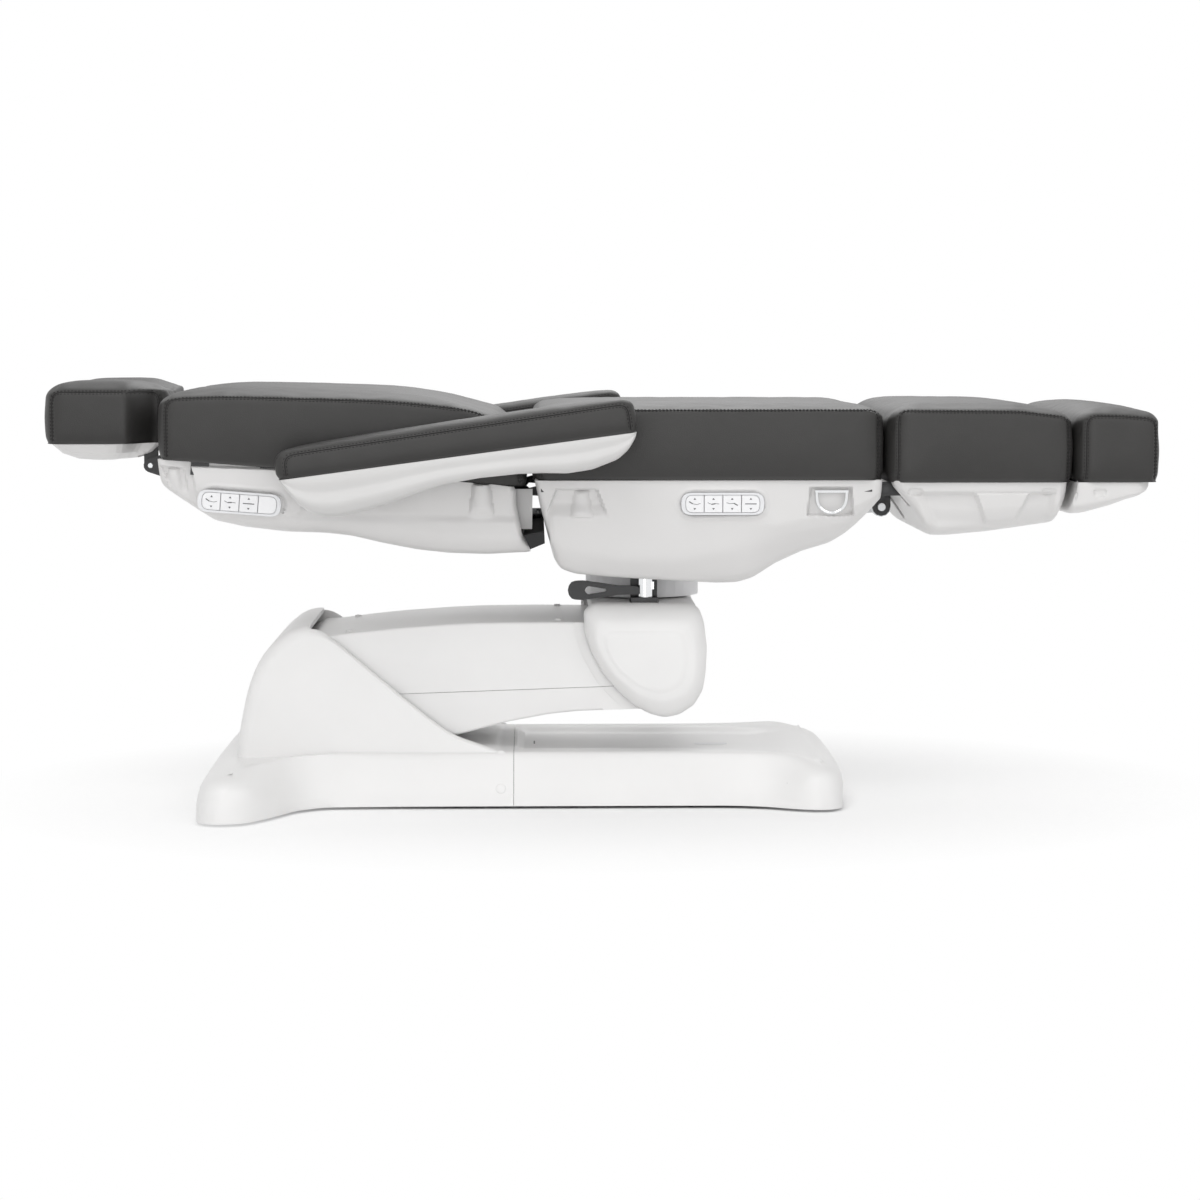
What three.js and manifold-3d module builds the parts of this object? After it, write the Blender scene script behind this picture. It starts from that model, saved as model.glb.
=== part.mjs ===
// A powered spa treatment table: five padded sections on moulded shells, carried by a lift arm
// on a low spreading base. Millimetres and degrees. X runs from the head end to the foot end,
// Y from the near side to the far side, and Z up from the floor.
import * as THREE from "three";
import { mergeVertices } from "three/addons/utils/BufferGeometryUtils.js";
import Module from "manifold-3d";

const wasm = await Module();
wasm.setup();

// Sizes that every piece shares
const clearance = 0.3;
const mergeTolerance = 0.0005;
const overrun = 40;
const shellWall = 4;
const plate = 8;

// Lengths along the bed, from the head end
const headPad = { length: 199.5, halfWidth: 226, neckHalf: 150, thickness: 86, crown: 20, edge: 16 };
const backPad = { length: 618, thickness: 128, crown: 15, edge: 16, endRound: 86 };
const seatPad = { length: 594, thickness: 122, crown: 20, edge: 15 };
const legPad = { length: 313, thickness: 112, crown: 21, edge: 16 };
const footPad = { length: 142.5, thickness: 112, crown: 20, edge: 16, endRound: 52 };
const headGap = 3;
const backGap = 2;
const legGap = 6;
const footGap = 3;
const padHalf = 310;
const shellInset = 10;
const shellHalf = padHalf - shellInset;
const rimZ = 562;
const pads = [headPad, backPad, seatPad, legPad, footPad];
const gaps = headGap + backGap + legGap + footGap;
const bedLength = pads.reduce((sum, pad) => sum + pad.length, gaps);
const headEndX = -bedLength / 2;
const backHeadX = headEndX + headPad.length + headGap;
const backFootX = backHeadX + backPad.length;
const seatLeftX = backFootX + backGap;
const seatRightX = seatLeftX + seatPad.length;
const legLeftX = seatRightX + legGap;
const legRightX = legLeftX + legPad.length;
const footLeftX = legRightX + footGap;

// The column of parts that carries the seat
const seatDepth = 164;
const swivel = { behindSeatFront: 395, drumRadius: 100, drumHeight: 44, spindle: 25, roof: 2 };
const swivelX = seatRightX - swivel.behindSeatFront;
const drumTopZ = rimZ - seatDepth - swivel.roof;
const drumBottomZ = drumTopZ - swivel.drumHeight;
const lift = { reach: 553, kneeBack: 9, kneeDrop: 99, rise: 0.93 };
const kneeX = swivelX - lift.kneeBack;
const kneeZ = drumBottomZ - lift.kneeDrop;
const liftX = kneeX - lift.reach * Math.cos(THREE.MathUtils.degToRad(lift.rise));
const liftZ = kneeZ - lift.reach * Math.sin(THREE.MathUtils.degToRad(lift.rise));

// Colours and finishes
const finish = (color, roughness, metalness) =>
  new THREE.MeshStandardMaterial({ color, roughness, metalness });
const whiteShell = finish(0xf1f1f2, 0.32, 0);
const greyPad = finish(0x4b4948, 0.5, 0);
const whiteSteel = finish(0xe8e9ea, 0.4, 0.1);
const blackSteel = finish(0x1b1b1d, 0.45, 0.2);
const greySteel = finish(0x8f9295, 0.35, 0.9);
const chrome = finish(0xd6d8da, 0.15, 1);
const silverKeys = finish(0xc9cccf, 0.4, 0.1);
const whiteKeys = finish(0xf4f5f6, 0.35, 0);
const motorGrey = finish(0x3a3c40, 0.5, 0);

// Solids from three.js geometry
function solidOf(geometry) {
  geometry.deleteAttribute("normal");
  geometry.deleteAttribute("uv");
  const merged = mergeVertices(geometry, mergeTolerance);
  const vertProperties = merged.attributes.position.array;
  const triVerts = new Uint32Array(merged.index.array);
  return new wasm.Manifold(new wasm.Mesh({ numProp: 3, vertProperties, triVerts }));
}

function geometryOf(solid) {
  const made = solid.getMesh();
  const geometry = new THREE.BufferGeometry();
  geometry.setAttribute("position", new THREE.BufferAttribute(made.vertProperties, 3));
  geometry.setIndex(new THREE.BufferAttribute(made.triVerts, 1));
  geometry.computeVertexNormals();
  return geometry;
}

function addPiece(group, name, material, solid) {
  const mesh = new THREE.Mesh(geometryOf(solid), material);
  mesh.name = name;
  group.add(mesh);
  return mesh;
}

const join = (first, ...others) => others.reduce((sum, other) => sum.add(other), first);
const cut = (first, ...others) => others.reduce((rest, other) => rest.subtract(other), first);

// A block between two corners
function block(x0, x1, y0, y1, z0, z1) {
  const geometry = new THREE.BoxGeometry(x1 - x0, y1 - y0, z1 - z0);
  geometry.translate((x0 + x1) / 2, (y0 + y1) / 2, (z0 + z1) / 2);
  return solidOf(geometry);
}

// Prisms: an XZ outline carried along Y, and an XY outline carried along Z
function prism(points, depth) {
  const shape = new THREE.Shape(points.map(([u, v]) => new THREE.Vector2(u, v)));
  return new THREE.ExtrudeGeometry(shape, { depth, bevelEnabled: false });
}

function sidePrism(points, y0, y1) {
  const geometry = prism(points, y1 - y0);
  geometry.rotateX(Math.PI / 2);
  geometry.translate(0, y1, 0);
  return solidOf(geometry);
}

function floorPrism(points, z0, z1) {
  const geometry = prism(points, z1 - z0);
  geometry.translate(0, 0, z0);
  return solidOf(geometry);
}

// The radius of a round hole whose flats clear a round bar that turns in it
const roundSides = 12;
const bore = (radius, sides = roundSides) => (radius + clearance) / Math.cos(Math.PI / sides);

// Round bars along Y, Z and X; a second radius makes a taper
function barY(x, z, radius, y0, y1, sides = roundSides, farRadius = radius) {
  const geometry = new THREE.CylinderGeometry(farRadius, radius, y1 - y0, sides);
  geometry.translate(x, (y0 + y1) / 2, z);
  return solidOf(geometry);
}

function barZ(x, y, radius, z0, z1, sides = roundSides, topRadius = radius) {
  const geometry = new THREE.CylinderGeometry(topRadius, radius, z1 - z0, sides);
  geometry.rotateX(Math.PI / 2);
  geometry.translate(x, y, (z0 + z1) / 2);
  return solidOf(geometry);
}

function barX(y, z, radius, x0, x1, sides = roundSides, farRadius = radius) {
  const geometry = new THREE.CylinderGeometry(farRadius, radius, x1 - x0, sides);
  geometry.rotateZ(-Math.PI / 2);
  geometry.translate((x0 + x1) / 2, y, z);
  return solidOf(geometry);
}

// Outlines: an arc, rounded corners, and an even inset
function arc(cx, cz, radius, from, to, steps) {
  const points = [];
  for (let i = 0; i <= steps; i++) {
    const angle = THREE.MathUtils.degToRad(from + ((to - from) * i) / steps);
    points.push([cx + radius * Math.cos(angle), cz + radius * Math.sin(angle)]);
  }
  return points;
}

function rounded(points, radius, steps = 2) {
  return points.flatMap((corner, i) => {
    const here = new THREE.Vector2(...corner);
    const before = new THREE.Vector2(...points[(i + points.length - 1) % points.length]);
    const after = new THREE.Vector2(...points[(i + 1) % points.length]);
    const reach = Math.min(radius, before.distanceTo(here) / 2.1, after.distanceTo(here) / 2.1);
    const from = here.clone().lerp(before, reach / before.distanceTo(here));
    const to = here.clone().lerp(after, reach / after.distanceTo(here));
    const curve = new THREE.QuadraticBezierCurve(from, here, to);
    return curve.getPoints(steps).map((point) => [point.x, point.y]);
  });
}

function areaOf(points) {
  return THREE.ShapeUtils.area(points.map(([x, y]) => new THREE.Vector2(x, y)));
}

function inset(points, distance) {
  const turn = Math.sign(areaOf(points));
  return points.map((point, i) => {
    const here = new THREE.Vector2(...point);
    const before = new THREE.Vector2(...points[(i + points.length - 1) % points.length]);
    const after = new THREE.Vector2(...points[(i + 1) % points.length]);
    const along = here.clone().sub(before).normalize();
    const onward = after.clone().sub(here).normalize();
    const normal = new THREE.Vector2(-along.y - onward.y, along.x + onward.x).normalize();
    const lean = Math.max(normal.dot(new THREE.Vector2(-along.y, along.x)), 0.5);
    const moved = here.addScaledVector(normal, (turn * distance) / lean);
    return [moved.x, moved.y];
  });
}

const drawStep = 5;

// A deep inset, taken in small steps that are evened out so that tight bends don't fold
function drawnIn(points, distance) {
  const steps = Math.ceil(Math.abs(distance) / drawStep);
  let ring = points;
  for (let i = 0; i < steps; i++) {
    ring = inset(ring, distance / steps);
    ring = ring.map(([x, y], j) => {
      const before = ring[(j + ring.length - 1) % ring.length];
      const after = ring[(j + 1) % ring.length];
      return [x / 2 + (before[0] + after[0]) / 4, y / 2 + (before[1] + after[1]) / 4];
    });
  }
  return ring;
}

// An outline drawn in towards its middle by the same distance on every side
function scaledIn(points, distance) {
  const spans = [0, 1].map((axis) => {
    const values = points.map((point) => point[axis]);
    return [Math.min(...values), Math.max(...values)];
  });
  return points.map((point) => point.map((value, axis) => {
    const [low, high] = spans[axis];
    const middle = (low + high) / 2;
    return middle + (value - middle) * (1 - (2 * distance) / (high - low));
  }));
}

// A closed skin through rings of equal counts, each a list of Vector3. A laddered skin closes its
// last ring with strips between its two mirrored halves, the others with a face round their middle
function loft(rings, laddered = false) {
  const count = rings[0].length;
  const positions = rings.flat().flatMap((point) => point.toArray());
  const index = [];
  for (let r = 0; r + 1 < rings.length; r++) {
    for (let i = 0; i < count; i++) {
      const a = r * count + i;
      const b = r * count + ((i + 1) % count);
      index.push(a, b, b + count, a, b + count, a + count);
    }
  }
  const capOf = (ring, first, forward) => {
    const centre = ring.reduce((sum, p) => sum.add(p), new THREE.Vector3()).divideScalar(count);
    const normal = new THREE.Vector3();
    ring.forEach((p, i) => {
      const q = ring[(i + 1) % count];
      normal.add(p.clone().sub(centre).cross(q.clone().sub(centre)));
    });
    normal.normalize();
    const u = ring[0].clone().sub(centre).normalize();
    const v = normal.clone().cross(u);
    const flat = ring.map((p) => {
      const d = p.clone().sub(centre);
      return new THREE.Vector2(d.dot(u), d.dot(v));
    });
    THREE.ShapeUtils.triangulateShape(flat, []).forEach(([a, b, c]) => {
      index.push(...(forward ? [first + a, first + b, first + c] : [first + a, first + c, first + b]));
    });
  };
  capOf(rings[0], 0, false);
  const last = (rings.length - 1) * count;
  if (laddered) {
    for (let i = 0; i < (count - 1) / 2; i++) {
      const [a, b, c, d] = [i, i + 1, count - i - 1, (count - i) % count].map((j) => last + j);
      if (b !== c) index.push(a, b, c);
      if (a !== d) index.push(a, c, d);
    }
  } else {
    capOf(rings[rings.length - 1], last, true);
  }
  const geometry = new THREE.BufferGeometry();
  geometry.setAttribute("position", new THREE.BufferAttribute(new Float32Array(positions), 3));
  geometry.setIndex(index);
  const solid = solidOf(geometry);
  return solid.volume() < 0 ? solidOf(turnedInsideOut(geometry)) : solid;
}

function turnedInsideOut(geometry) {
  const index = Array.from(geometry.index.array);
  for (let i = 0; i < index.length; i += 3) [index[i + 1], index[i + 2]] = [index[i + 2], index[i + 1]];
  geometry.setIndex(index);
  return geometry;
}

const sideRing = (points, y) => points.map(([x, z]) => new THREE.Vector3(x, y, z));
const floorRing = (points, z) => points.map(([x, y]) => new THREE.Vector3(x, y, z));

// An XZ outline carried across Y with rounded edges at both sides
function softPrism(points, halfWidth, edge, drawIn = inset, steps = 2) {
  const rings = [];
  for (let i = 0; i <= steps; i++) {
    const angle = (Math.PI / 2) * (i / steps);
    const y = halfWidth - edge + edge * Math.cos(angle);
    rings.push(sideRing(drawIn(points, edge * (1 - Math.sin(angle))), -y));
  }
  const mirrored = rings.map((ring) => ring.map((p) => new THREE.Vector3(p.x, -p.y, p.z)));
  return loft([...rings, ...mirrored.reverse()]);
}

// Powered jacks: a rod that slides in a tube, an eye at each end, and a motor beside the tube.
// The eye of the tube has slack round its pin, because the pin's path there is nearly straight.
const jack = {
  rod: 10, tube: 18, eyeOuter: 18, eyeHalf: 11, pin: 7, end: 5, apart: 2, cheek: 6, bite: 30, motor: 22,
  motorLength: 105,
  box: 46, slack: 10,
};

function jackParts({ pin, mount, lane, stroke, tubeLength, motorSide }) {
  const run = new THREE.Vector2(mount[0] - pin[0], mount[1] - pin[1]);
  const length = run.length();
  const inside = jack.bite + Math.max(stroke, 0);
  const boreDepth = inside + Math.max(-stroke, 0) + jack.end;
  const mouth = length - tubeLength;
  const eyeAt = (x, hole, y0, y1) =>
    cut(barY(x, 0, jack.eyeOuter, y0, y1), barY(x, 0, hole, y0 - overrun, y1 + overrun));
  const rod = cut(
    join(barX(0, 0, jack.rod, jack.eyeOuter / 2, mouth + inside),
      eyeAt(0, jack.pin, -jack.eyeHalf, jack.eyeHalf)),
    barY(0, 0, bore(jack.pin), -overrun, overrun),
  );
  const boxX = length - jack.eyeOuter - jack.slack;
  const rear = cut(
    join(
      eyeAt(length, jack.pin, -jack.eyeHalf, jack.eyeHalf),
      block(boxX - jack.box, length - jack.eyeOuter / 2, -jack.eyeHalf, jack.eyeHalf, -jack.rod, jack.rod)),
    barY(length, 0, bore(jack.pin), -overrun, overrun));
  const [sideY, sideZ] = motorSide;
  const reach = jack.tube + jack.motor + jack.apart;
  const motorY = sideY * reach;
  const motorZ = sideZ * reach;
  const boxHalf = jack.tube + 1;
  const neck = block(boxX - jack.box, boxX,
    Math.min(motorY, -boxHalf), Math.max(motorY, boxHalf), Math.min(motorZ, -boxHalf), Math.max(motorZ,
      boxHalf));
  const tube = cut(
    join(barX(0, 0, jack.tube, mouth, boxX), rear, neck,
      barX(motorY, motorZ, jack.motor, boxX - jack.box - jack.motorLength, boxX - jack.pin)),
    barX(0, 0, bore(jack.rod), mouth - overrun, mouth + boreDepth),
  );
  const turn = Math.atan2(run.y, run.x);
  const place = (solid) => {
    const geometry = geometryOf(solid);
    geometry.rotateY(-turn);
    geometry.translate(pin[0], lane, pin[1]);
    return solidOf(geometry);
  };
  return { rod: place(rod), tube: place(tube) };
}

// Two cheeks for an eye, standing from one level to it, with a pin between them or only its holes
function fork(centre, lane, fromZ, width = 2 * jack.eyeOuter, pinned = true) {
  const [x, z] = centre;
  const round = arc(x, z, width / 2, fromZ < z ? 0 : 180, fromZ < z ? 180 : 360, 6);
  const outline = [...round, [fromZ < z ? x - width / 2 : x + width / 2, fromZ],
    [fromZ < z ? x + width / 2 : x - width / 2, fromZ]];
  const near = jack.eyeHalf + clearance;
  const cheeks = [-1, 1].map((side) => {
    const y0 = side > 0 ? lane + near : lane - near - jack.cheek;
    return sidePrism(outline, y0, y0 + jack.cheek);
  });
  const half = near + jack.cheek;
  if (pinned) return join(...cheeks, barY(x, z, jack.pin, lane - half, lane + half));
  return cut(join(...cheeks), barY(x, z, bore(jack.pin), lane - 2 * half, lane + 2 * half));
}

// Base: a steel frame on four glides under two spreading covers, the rear one with a tall housing
const base = {
  rear: 199, front: 902, rearHalf: 400, stripHalf: 225, frontHalf: 278, topZ: 95, bottomZ: 5, split: 334,
  splitGap: 0.6, wall: 4,
  glide: 18, glideHeight: 12, railHalf: 118, rail: 50, railDeep: 30, railTop: 46, post: 12,
};
const baseRearX = liftX - base.rear;
const baseFrontX = liftX + base.front;
const baseSplitX = liftX + base.split;
const baseLength = baseFrontX - baseRearX;
const rearLobeShares = [
  [0.024, 0], [0.013, 0.5], [0.001, 0.82], [0.006, 0.955], [0.034, 1], [0.08, 0.975], [0.115, 0.84],
];
const stripShares = [[0.15, 1.164], [0.19, 1.022], [0.3, 1], [0.5, 1], [0.7, 1], [0.82, 1]];
const frontLobeShares = [[0.875, 0.85], [0.925, 0.965], [0.965, 1], [0.993, 0.935], [1, 0.72], [0.99, 0]];
const baseEdge = 36;
const baseEdgeShares = [[0, 0], [0.02, 0.36], [0.14, 0.58], [0.42, 0.8], [0.75, 0.94], [1, 1]];
const basePlan = (() => {
  const spans = [[rearLobeShares, base.rearHalf], [stripShares, base.stripHalf],
    [frontLobeShares, base.frontHalf]];
  const half = spans.flatMap(([shares, wide]) =>
    shares.map(([x, y]) => [baseRearX + x * baseLength, y * wide]));
  const mirrored = half.slice(1, -1).reverse().map(([x, y]) => [x, -y]);
  const points = [...half, ...mirrored].map(([x, y]) => new THREE.Vector3(x, y, 0));
  const curve = new THREE.CatmullRomCurve3(points, true, "centripetal");
  return curve.getPoints(Math.round(points.length * 1.25)).slice(0, -1).map((point) => [point.x, point.y]);
})();

// The deck falls a little over the lobes at both ends; these are shares of the base's length
const deckFall = { share: 0.16, rear: [0.04, 0.12], front: [0.84, 0.93] };

function deckAt(x) {
  const along = (x - baseRearX) / baseLength;
  const rise = THREE.MathUtils.smoothstep(along, ...deckFall.rear);
  const fall = THREE.MathUtils.smoothstep(along, ...deckFall.front);
  return base.bottomZ + (base.topZ - base.bottomZ) * (1 - deckFall.share * (1 - rise + fall));
}

function baseSkin(shrink) {
  const rings = baseEdgeShares.map(([away, up]) => {
    const drawn = drawnIn(basePlan, away * baseEdge);
    return (shrink ? inset(drawn, shrink) : drawn).map(([x, y], i) => {
      const level = base.bottomZ + up * (deckAt(drawn[i][0]) - base.bottomZ);
      return new THREE.Vector3(x, y, level - shrink);
    });
  });
  return loft(rings, true);
}

// The tall housing, as shares of its length and of its rise over the deck
const housing = { half: 176, wall: 8, edge: 14, openBehind: 16, topZ: 312, rear: 146 };
const housingRearX = liftX - housing.rear;
const housingLength = base.split + housing.rear;
const housingShares = [
  [0, -0.2], [0.01, 0.06], [0.028, 0.32], [0.064, 0.577], [0.108, 0.777], [0.154, 0.897], [0.2, 0.975],
  [0.248, 1], [0.29, 1], [0.335, 0.97], [0.375, 0.92], [0.606, 0.443], [0.7, 0.258], [0.76, 0.145],
  [0.81, 0.095], [0.9, 0.008], [0.985, -0.03], [0.985, -0.2],
];
const housingOutline = housingShares.map(([x, z]) => [
  housingRearX + x * housingLength,
  base.topZ + z * (housing.topZ - base.topZ),
]);
const armHalf = 159;
const armClear = 9;
const shaftRadius = 15;
const towerHalf = 160.5;
const towerPlate = 6;
const lever = { crank: 186, behind: 16 };
const crankAngle = THREE.MathUtils.degToRad(-90 - lever.behind);
const liftPin = [liftX + lever.crank * Math.cos(crankAngle), liftZ + lever.crank * Math.sin(crankAngle)];
const liftRun = 421;
const liftMount = [liftPin[0] + liftRun, liftPin[1]];
const link = { aside: 30, below: 48, pin: 7, y0: 112, y1: 122, eye: 16 };

function buildBase() {
  const group = new THREE.Group();
  const outer = baseSkin(0);
  const under = block(baseRearX - overrun, baseFrontX + overrun, -2 * base.rearHalf, 2 * base.rearHalf,
    -overrun, base.bottomZ + base.wall);
  const inner = join(baseSkin(base.wall),
    under.intersect(floorPrism(inset(basePlan, base.wall), -overrun, base.topZ / 2)));
  const wellHalf = armHalf + armClear;
  const openX = liftX - housing.openBehind;
  const rearCover = cut(
    join(cut(outer, inner), softPrism(housingOutline, housing.half, housing.edge)),
    sidePrism(inset(housingOutline, housing.wall), -wellHalf, wellHalf),
    block(openX, baseSplitX - 2 * housing.wall, -wellHalf, wellHalf, 0, rimZ),
    block(housingRearX + 2 * housing.wall, openX + overrun, -wellHalf, wellHalf, 0,
      base.topZ + housing.wall),
    block(openX, baseSplitX, -wellHalf, wellHalf, 0, base.topZ - base.wall),
    block(baseSplitX, baseFrontX + overrun, -rimZ, rimZ, -overrun, rimZ),
  );
  addPiece(group, "base_rear_cover", whiteShell, rearCover);

  // The front cover has a shallow channel along its deck
  const channel = { half: 140, depth: 5, from: 0.06, to: 0.9 };
  const span = baseFrontX - baseSplitX;
  const corners = [[channel.from, -1], [channel.to, -1], [channel.to, 1], [channel.from, 1]];
  const channelPlan = rounded(corners.map(([x, y]) => [baseSplitX + x * span, y * channel.half]),
    channel.half / 3);
  const channelTop = base.topZ + overrun;
  const liner = floorPrism(inset(channelPlan, -base.wall), base.topZ - channel.depth - base.wall,
    base.topZ - base.wall / 2);
  const frontCover = cut(
    join(cut(outer, inner), liner.intersect(outer)),
    floorPrism(channelPlan, base.topZ - channel.depth, channelTop),
    block(baseRearX - overrun, baseSplitX + base.splitGap, -rimZ, rimZ, -overrun, rimZ),
  );
  addPiece(group, "base_front_cover", whiteShell, frontCover);

  // Frame: two rails, a wide rear and a shorter front cross member, glides, and towers for the shaft
  const crossHalves = [0.8 * base.rearHalf, 0.86 * base.frontHalf];
  const crossXs = [baseRearX + 1.5 * base.rail, baseFrontX - 1.5 * base.rail];
  const rails = [-1, 1].map((side) => {
    const y = side * base.railHalf;
    return block(crossXs[0], crossXs[1], y - base.railDeep / 2, y + base.railDeep / 2, base.glideHeight,
      base.railTop);
  });
  const crosses = crossXs.map((x, i) =>
    block(x - base.rail / 2, x + base.rail / 2, -crossHalves[i], crossHalves[i], base.glideHeight,
      base.railTop));
  const glides = crossXs.flatMap((x, i) => [-1, 1].map((side) =>
    barZ(x, side * (crossHalves[i] - base.glide), base.glide, 0, base.railTop / 2)));
  const towers = [-1, 1].map((side) => {
    const y0 = side > 0 ? towerHalf : -towerHalf - towerPlate;
    const foot = base.rail * 1.4;
    const outline = [
      [liftX - foot, base.glideHeight], [liftX + foot, base.glideHeight],
      ...arc(liftX, liftZ, 2 * shaftRadius, 0, 180, 6),
    ];
    return cut(sidePrism(outline, y0, y0 + towerPlate),
      barY(liftX, liftZ, bore(shaftRadius), y0 - plate, y0 + 2 * plate));
  });
  const anchorBar = block(liftMount[0] - base.rail / 2, liftMount[0] + base.rail / 2,
    -base.railHalf, base.railHalf, base.glideHeight, base.glideHeight + plate);
  const postY = -link.y1 - link.pin;
  const linkX = liftX + link.aside;
  const linkZ = liftZ - link.below;
  const linkPin = barY(linkX, linkZ, link.pin, postY - plate, -link.y0, 12);
  const linkPost = sidePrism([
    [linkX - base.rail / 2, base.glideHeight], [linkX + base.rail / 2, base.glideHeight],
    ...arc(linkX, linkZ, link.eye, 0, 180, 6),
  ], postY - plate, postY);
  const stays = [-1, 1].map((side) => {
    const y = side * (towerHalf + towerPlate / 2);
    return block(liftX - base.rail, liftX + base.rail, Math.min(y, side * base.railHalf),
      Math.max(y, side * base.railHalf),
      base.glideHeight, base.railTop);
  });
  const posts = crossXs.flatMap((x, i) => {
    const underDeck = Math.min(deckAt(x - base.post), deckAt(x + base.post)) - base.wall - 2 * clearance;
    return [-1, 1].map((side) =>
      barZ(x, side * (crossHalves[i] - 3 * base.glide), base.post, base.glideHeight, underDeck));
  });
  const frame = join(...rails, ...crosses, ...glides, ...towers, ...stays, ...posts, anchorBar,
    fork(liftMount, 0, base.glideHeight, 2 * jack.eyeOuter, false), linkPin, linkPost);
  addPiece(group, "base_frame", blackSteel, frame);
  addPiece(group, "lift_pivot_shaft", greySteel,
    barY(liftX, liftZ, shaftRadius, -towerHalf - towerPlate, towerHalf + towerPlate));
  return group;
}

// Lift arm: two plates on a hub, a crank for the jack, and two covers split along a seam
const arm = { plateY: 100, plate: 8, half: 38, hub: 26, kneeShaft: 13, wall: 4, edge: 12, rearRadius: 57 };
const armEndX = kneeX - 48;
const armLowShares = [[0.13, -92], [0.27, -132], [0.43, -127], [0.58, -103], [0.715, -88], [0.8, -83],
  [0.905, -81]];

function armOutline() {
  const alongArm = ([share, height]) => [liftX + share * lift.reach, liftZ + height];
  const top = [[0.905, 70], [0.12, 55]].map(alongArm);
  const rear = arc(liftX, liftZ, arm.rearRadius, 84, 214, 10);
  return [...top, ...rear, ...armLowShares.map(alongArm)];
}

function buildLiftArm() {
  const group = new THREE.Group();
  const bar = [
    ...arc(liftX, liftZ, arm.half, 90, 270, 6),
    ...arc(kneeX, kneeZ, arm.half, -90, 90, 6),
  ];
  const sides = [-1, 1].map((side) => {
    const y0 = side > 0 ? arm.plateY : -arm.plateY - arm.plate;
    return sidePrism(bar, y0, y0 + arm.plate);
  });
  const tubeX = liftX + lift.reach / 2;
  const spread = armHalf - arm.wall - clearance;
  const cross = barY(tubeX, (liftZ + kneeZ) / 2, arm.hub, -spread, spread);
  const hub = barY(liftX, liftZ, arm.hub, -arm.plateY - arm.plate / 2, arm.plateY + arm.plate / 2);
  const crankTurn = THREE.MathUtils.radToDeg(crankAngle);
  const crankOutline = [
    ...arc(liftX, liftZ, arm.hub * 1.3, crankTurn + 90, crankTurn + 270, 6),
    ...arc(liftPin[0], liftPin[1], jack.eyeOuter, crankTurn - 90, crankTurn + 90, 6),
  ];
  const near = jack.eyeHalf + clearance;
  const cranks = [-1, 1].map((side) => {
    const y0 = side > 0 ? near : -near - plate;
    return sidePrism(crankOutline, y0, y0 + plate);
  });
  const crankPin = barY(liftPin[0], liftPin[1], jack.pin, -near - plate, near + plate);
  const wide = towerHalf;
  const body = cut(
    join(...sides, cross, hub, ...cranks),
    barY(liftX, liftZ, bore(shaftRadius), -wide, wide),
    barY(kneeX, kneeZ, bore(arm.kneeShaft), -wide, wide),
  );
  addPiece(group, "lift_arm", whiteSteel, join(body, crankPin));

  const outline = armOutline();
  const skin = softPrism(outline, armHalf, arm.edge);
  const hollow = sidePrism(inset(outline, arm.wall), -armHalf + arm.wall, armHalf - arm.wall);
  const seam = { rear: -64, front: -47, gap: 0.6 };
  const seamLine = (lift0) => [
    [liftX - 3 * arm.rearRadius, liftZ + seam.rear + lift0],
    [kneeX + overrun, liftZ + seam.front + lift0],
  ];
  const endX = liftX + 0.905 * lift.reach;
  const openEnd = block(endX - 2 * arm.wall, endX + overrun, -armHalf + arm.wall, armHalf - arm.wall, 0,
    rimZ);
  const inHalf = armHalf - arm.wall;
  const crankWay = block(liftX - 2 * arm.rearRadius, liftX + arm.rearRadius, -inHalf, inHalf, 0,
    liftZ - arm.half / 2);
  const shaftWay = barY(liftX, liftZ, bore(shaftRadius) + clearance, -towerHalf, towerHalf);
  const shell = cut(skin, hollow, crankWay, openEnd, shaftWay);
  const [lowA, lowB] = seamLine(0);
  const [highA, highB] = seamLine(seam.gap);
  const above = sidePrism([highA, highB, [highB[0], rimZ], [highA[0], rimZ]], -2 * armHalf, 2 * armHalf);
  const below = sidePrism([lowA, lowB, [lowB[0], 0], [lowA[0], 0]], -2 * armHalf, 2 * armHalf);
  const caps = [0.083, 0.745].flatMap((share) => [-1, 1].map((side) => {
    const x = liftX + share * lift.reach;
    const z = liftZ + 55 + (share - 0.12) * 19;
    return barZ(x, side * (armHalf - 2 * arm.edge), cap.radius, z - arm.wall, z + cap.height, 12,
      cap.radius * 0.8);
  }));
  addPiece(group, "arm_upper_cover", whiteShell, join(shell.intersect(above), ...caps));
  addPiece(group, "arm_lower_cover", whiteShell, shell.intersect(below));
  addPiece(group, "knee_pivot_shaft", greySteel,
    barY(kneeX, kneeZ, arm.kneeShaft, -knuckle.frameHalf - 2 * plate, knuckle.frameHalf + 2 * plate));
  return group;
}
const cap = { radius: 7, height: 3 };

// Link that keeps the knuckle level, beside the arm; its knuckle end has slack round the pin
function buildLink() {
  const group = new THREE.Group();
  const from = [liftX + link.aside, liftZ - link.below];
  const to = [kneeX + link.aside, kneeZ - link.below];
  const turn = THREE.MathUtils.radToDeg(Math.atan2(to[1] - from[1], to[0] - from[0]));
  const outline = [
    ...arc(from[0], from[1], link.eye, turn + 90, turn + 270, 6),
    ...arc(to[0], to[1], link.eye, turn - 90, turn + 90, 6),
  ];
  const bar = cut(
    sidePrism(outline, -link.y1, -link.y0),
    barY(from[0], from[1], bore(link.pin), -2 * link.y1, 0),
    barY(to[0], to[1], bore(link.pin) + 2 * clearance, -2 * link.y1, 0),
  );
  addPiece(group, "parallel_link", blackSteel, bar);
  return group;
}

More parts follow.
